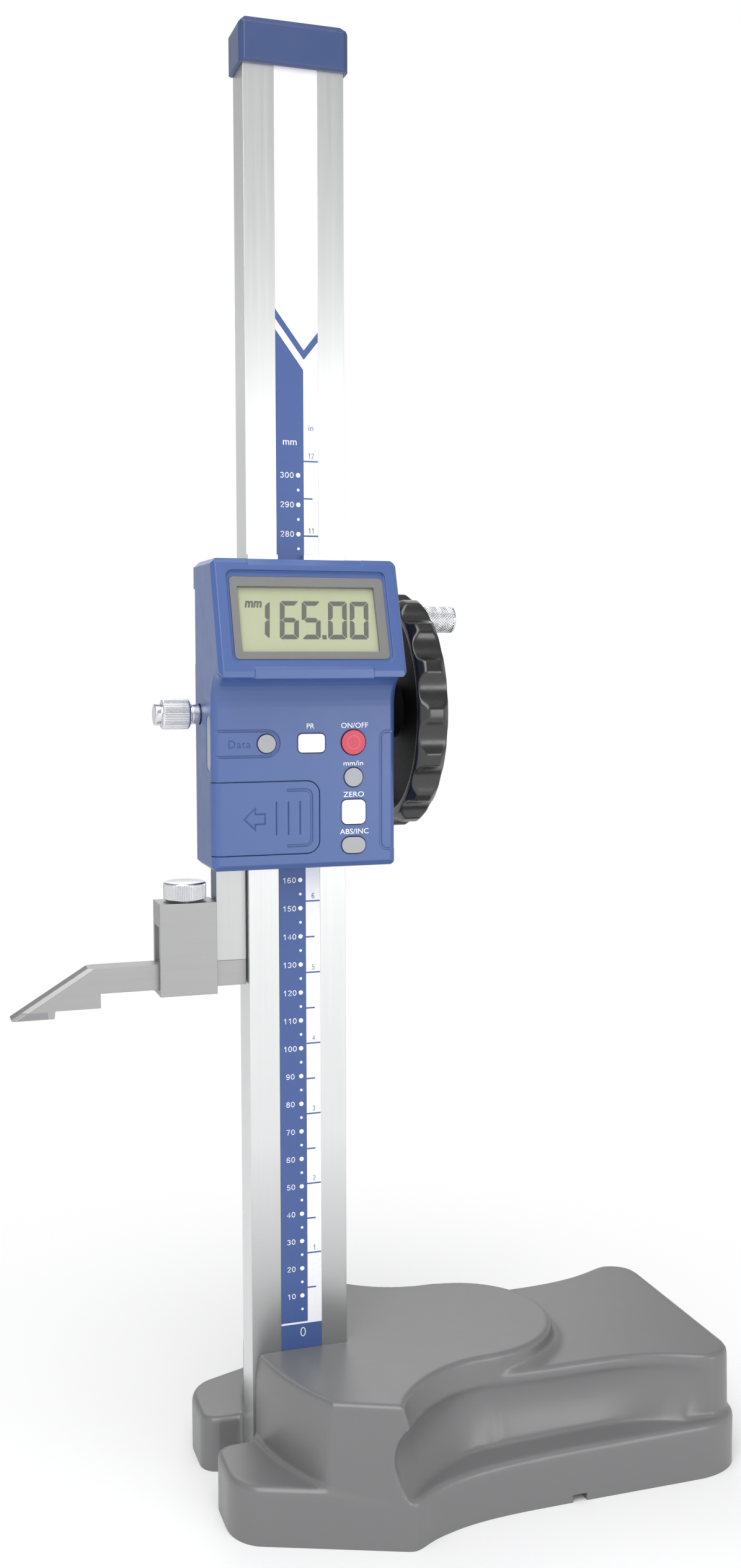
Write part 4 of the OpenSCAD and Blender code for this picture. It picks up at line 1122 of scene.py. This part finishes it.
# Half the floor's width, and from how far out to how far out it fades to white, in metres
FLOOR_HALF = 3.0
FLOOR_FADE = (0.13, 0.34)


def floor():
    """A pale floor that turns to plain white away from the object, for the camera alone."""
    f = Finish("floor_pale")
    mesh = bpy.data.meshes.new("floor")
    corners = [(-1, -1), (1, -1), (1, 1), (-1, 1)]
    mesh.from_pydata([(x * FLOOR_HALF, y * FLOOR_HALF, 0) for x, y in corners], [], [(0, 1, 2, 3)])
    mesh.materials.append(f.material)
    placed("floor", mesh)
    f.set(colour=(0.93, 0.93, 0.935, 1.0), rough=0.7, specular=0.2)
    ray = f.add("ShaderNodeLightPath").outputs["Is Camera Ray"]
    far = f.add("ShaderNodeVectorMath", {0: f.place}, operation="LENGTH").outputs["Value"]
    fade = f.ramp(far, *FLOOR_FADE, blend="SMOOTHSTEP")
    glow = f.add("ShaderNodeEmission", {"Color": (1, 1, 1, 1), "Strength": 1.0})
    both = f.add("ShaderNodeMixShader", {0: f.math("MULTIPLY", ray, fade), 1: f.shader.outputs[0],
                                         2: glow.outputs[0]})
    f.tree.links.new(both.outputs[0], f.tree.nodes["Material Output"].inputs["Surface"])


def world():
    """White behind the object, and a softer white as light on it.

    What gloss and steel reflect is white near the horizon and greyer overhead and towards +Y.
    """
    made = bpy.data.worlds.new("studio")
    made.use_nodes = True
    sky = Nodes(made.node_tree)
    way = sky.add("ShaderNodeTexCoord").outputs["Generated"]
    overhead = sky.ramp(sky.axis(way, "Z"), 0.12, 0.36, 1.0, 0.42, "SMOOTHSTEP")
    behind = sky.ramp(sky.axis(way, "Y"), -0.3, 0.5, 1.0, 0.8, "SMOOTHSTEP")
    path = sky.add("ShaderNodeLightPath").outputs
    gloss = sky.ramp(path["Is Glossy Ray"], 0.0, 1.0, 0.45, sky.math("MULTIPLY", overhead, behind))
    seen = sky.math("MAXIMUM", path["Is Camera Ray"], path["Is Transmission Ray"])
    back = sky.tree.nodes["Background"].inputs
    sky.put(back["Color"], (1, 1, 1, 1))
    sky.put(back["Strength"], sky.ramp(seen, 0.0, 1.0, gloss, 1.0))
    bpy.context.scene.world = made


def soft_light(name, place, target, size, power):
    lamp = bpy.data.lights.new(name, "AREA")
    lamp.shape, lamp.size, lamp.size_y, lamp.energy = "RECTANGLE", size[0], size[1], power
    made = placed(name, lamp)
    made.location = place
    made.rotation_euler = (Vector(target) - Vector(place)).to_track_quat("-Z", "Y").to_euler()


# The camera that took the photo, from the column's scale: its focal length in the photo's pixels
PHOTO_SIZE = (1195, 2529)
FOCAL_PIXELS = 2501.69
CAMERA_AT = mm(-141.84, -527.28, 296.31)
CAMERA_FORWARD = Vector((0.30752, 0.94818, -0.07992)).normalized()
CAMERA_RIGHT = Vector((0.95118, -0.30862, -0.00153)).normalized()


def camera():
    data = bpy.data.cameras.new("photo_camera")
    data.sensor_fit = "AUTO"
    data.sensor_width = 36.0
    data.lens = data.sensor_width * FOCAL_PIXELS / max(PHOTO_SIZE)
    data.clip_start, data.clip_end = 0.01, 20.0
    made = placed("photo_camera", data)
    up = CAMERA_RIGHT.cross(CAMERA_FORWARD).normalized()
    right = CAMERA_FORWARD.cross(up)
    turn = Matrix((right, up, -CAMERA_FORWARD)).transposed().to_4x4()
    made.matrix_world = Matrix.Translation(CAMERA_AT) @ turn
    bpy.context.scene.camera = made


# Soft lamps: place, target and size in metres, and power in watts
LAMPS = {
    "key": ((-0.8, -1.45, 1.35), (0, 0, 0.22), (1.1, 1.1), 15),
    "front_right": ((0.92, -1.66, 0.38), (0, 0, 0.26), (0.85, 0.5), 5.5),
    "overhead": ((-0.3, -0.55, 1.9), (0, 0, 0.1), (1.3, 1.3), 18),
    "rear": ((0.3, 1.5, 1.1), (0, 0, 0.2), (1.2, 1.0), 5),
}

floor()
world()
for lamp_name, lamp_setting in LAMPS.items():
    soft_light(lamp_name, *lamp_setting)
camera()
bpy.context.scene.view_settings.view_transform = "Standard"
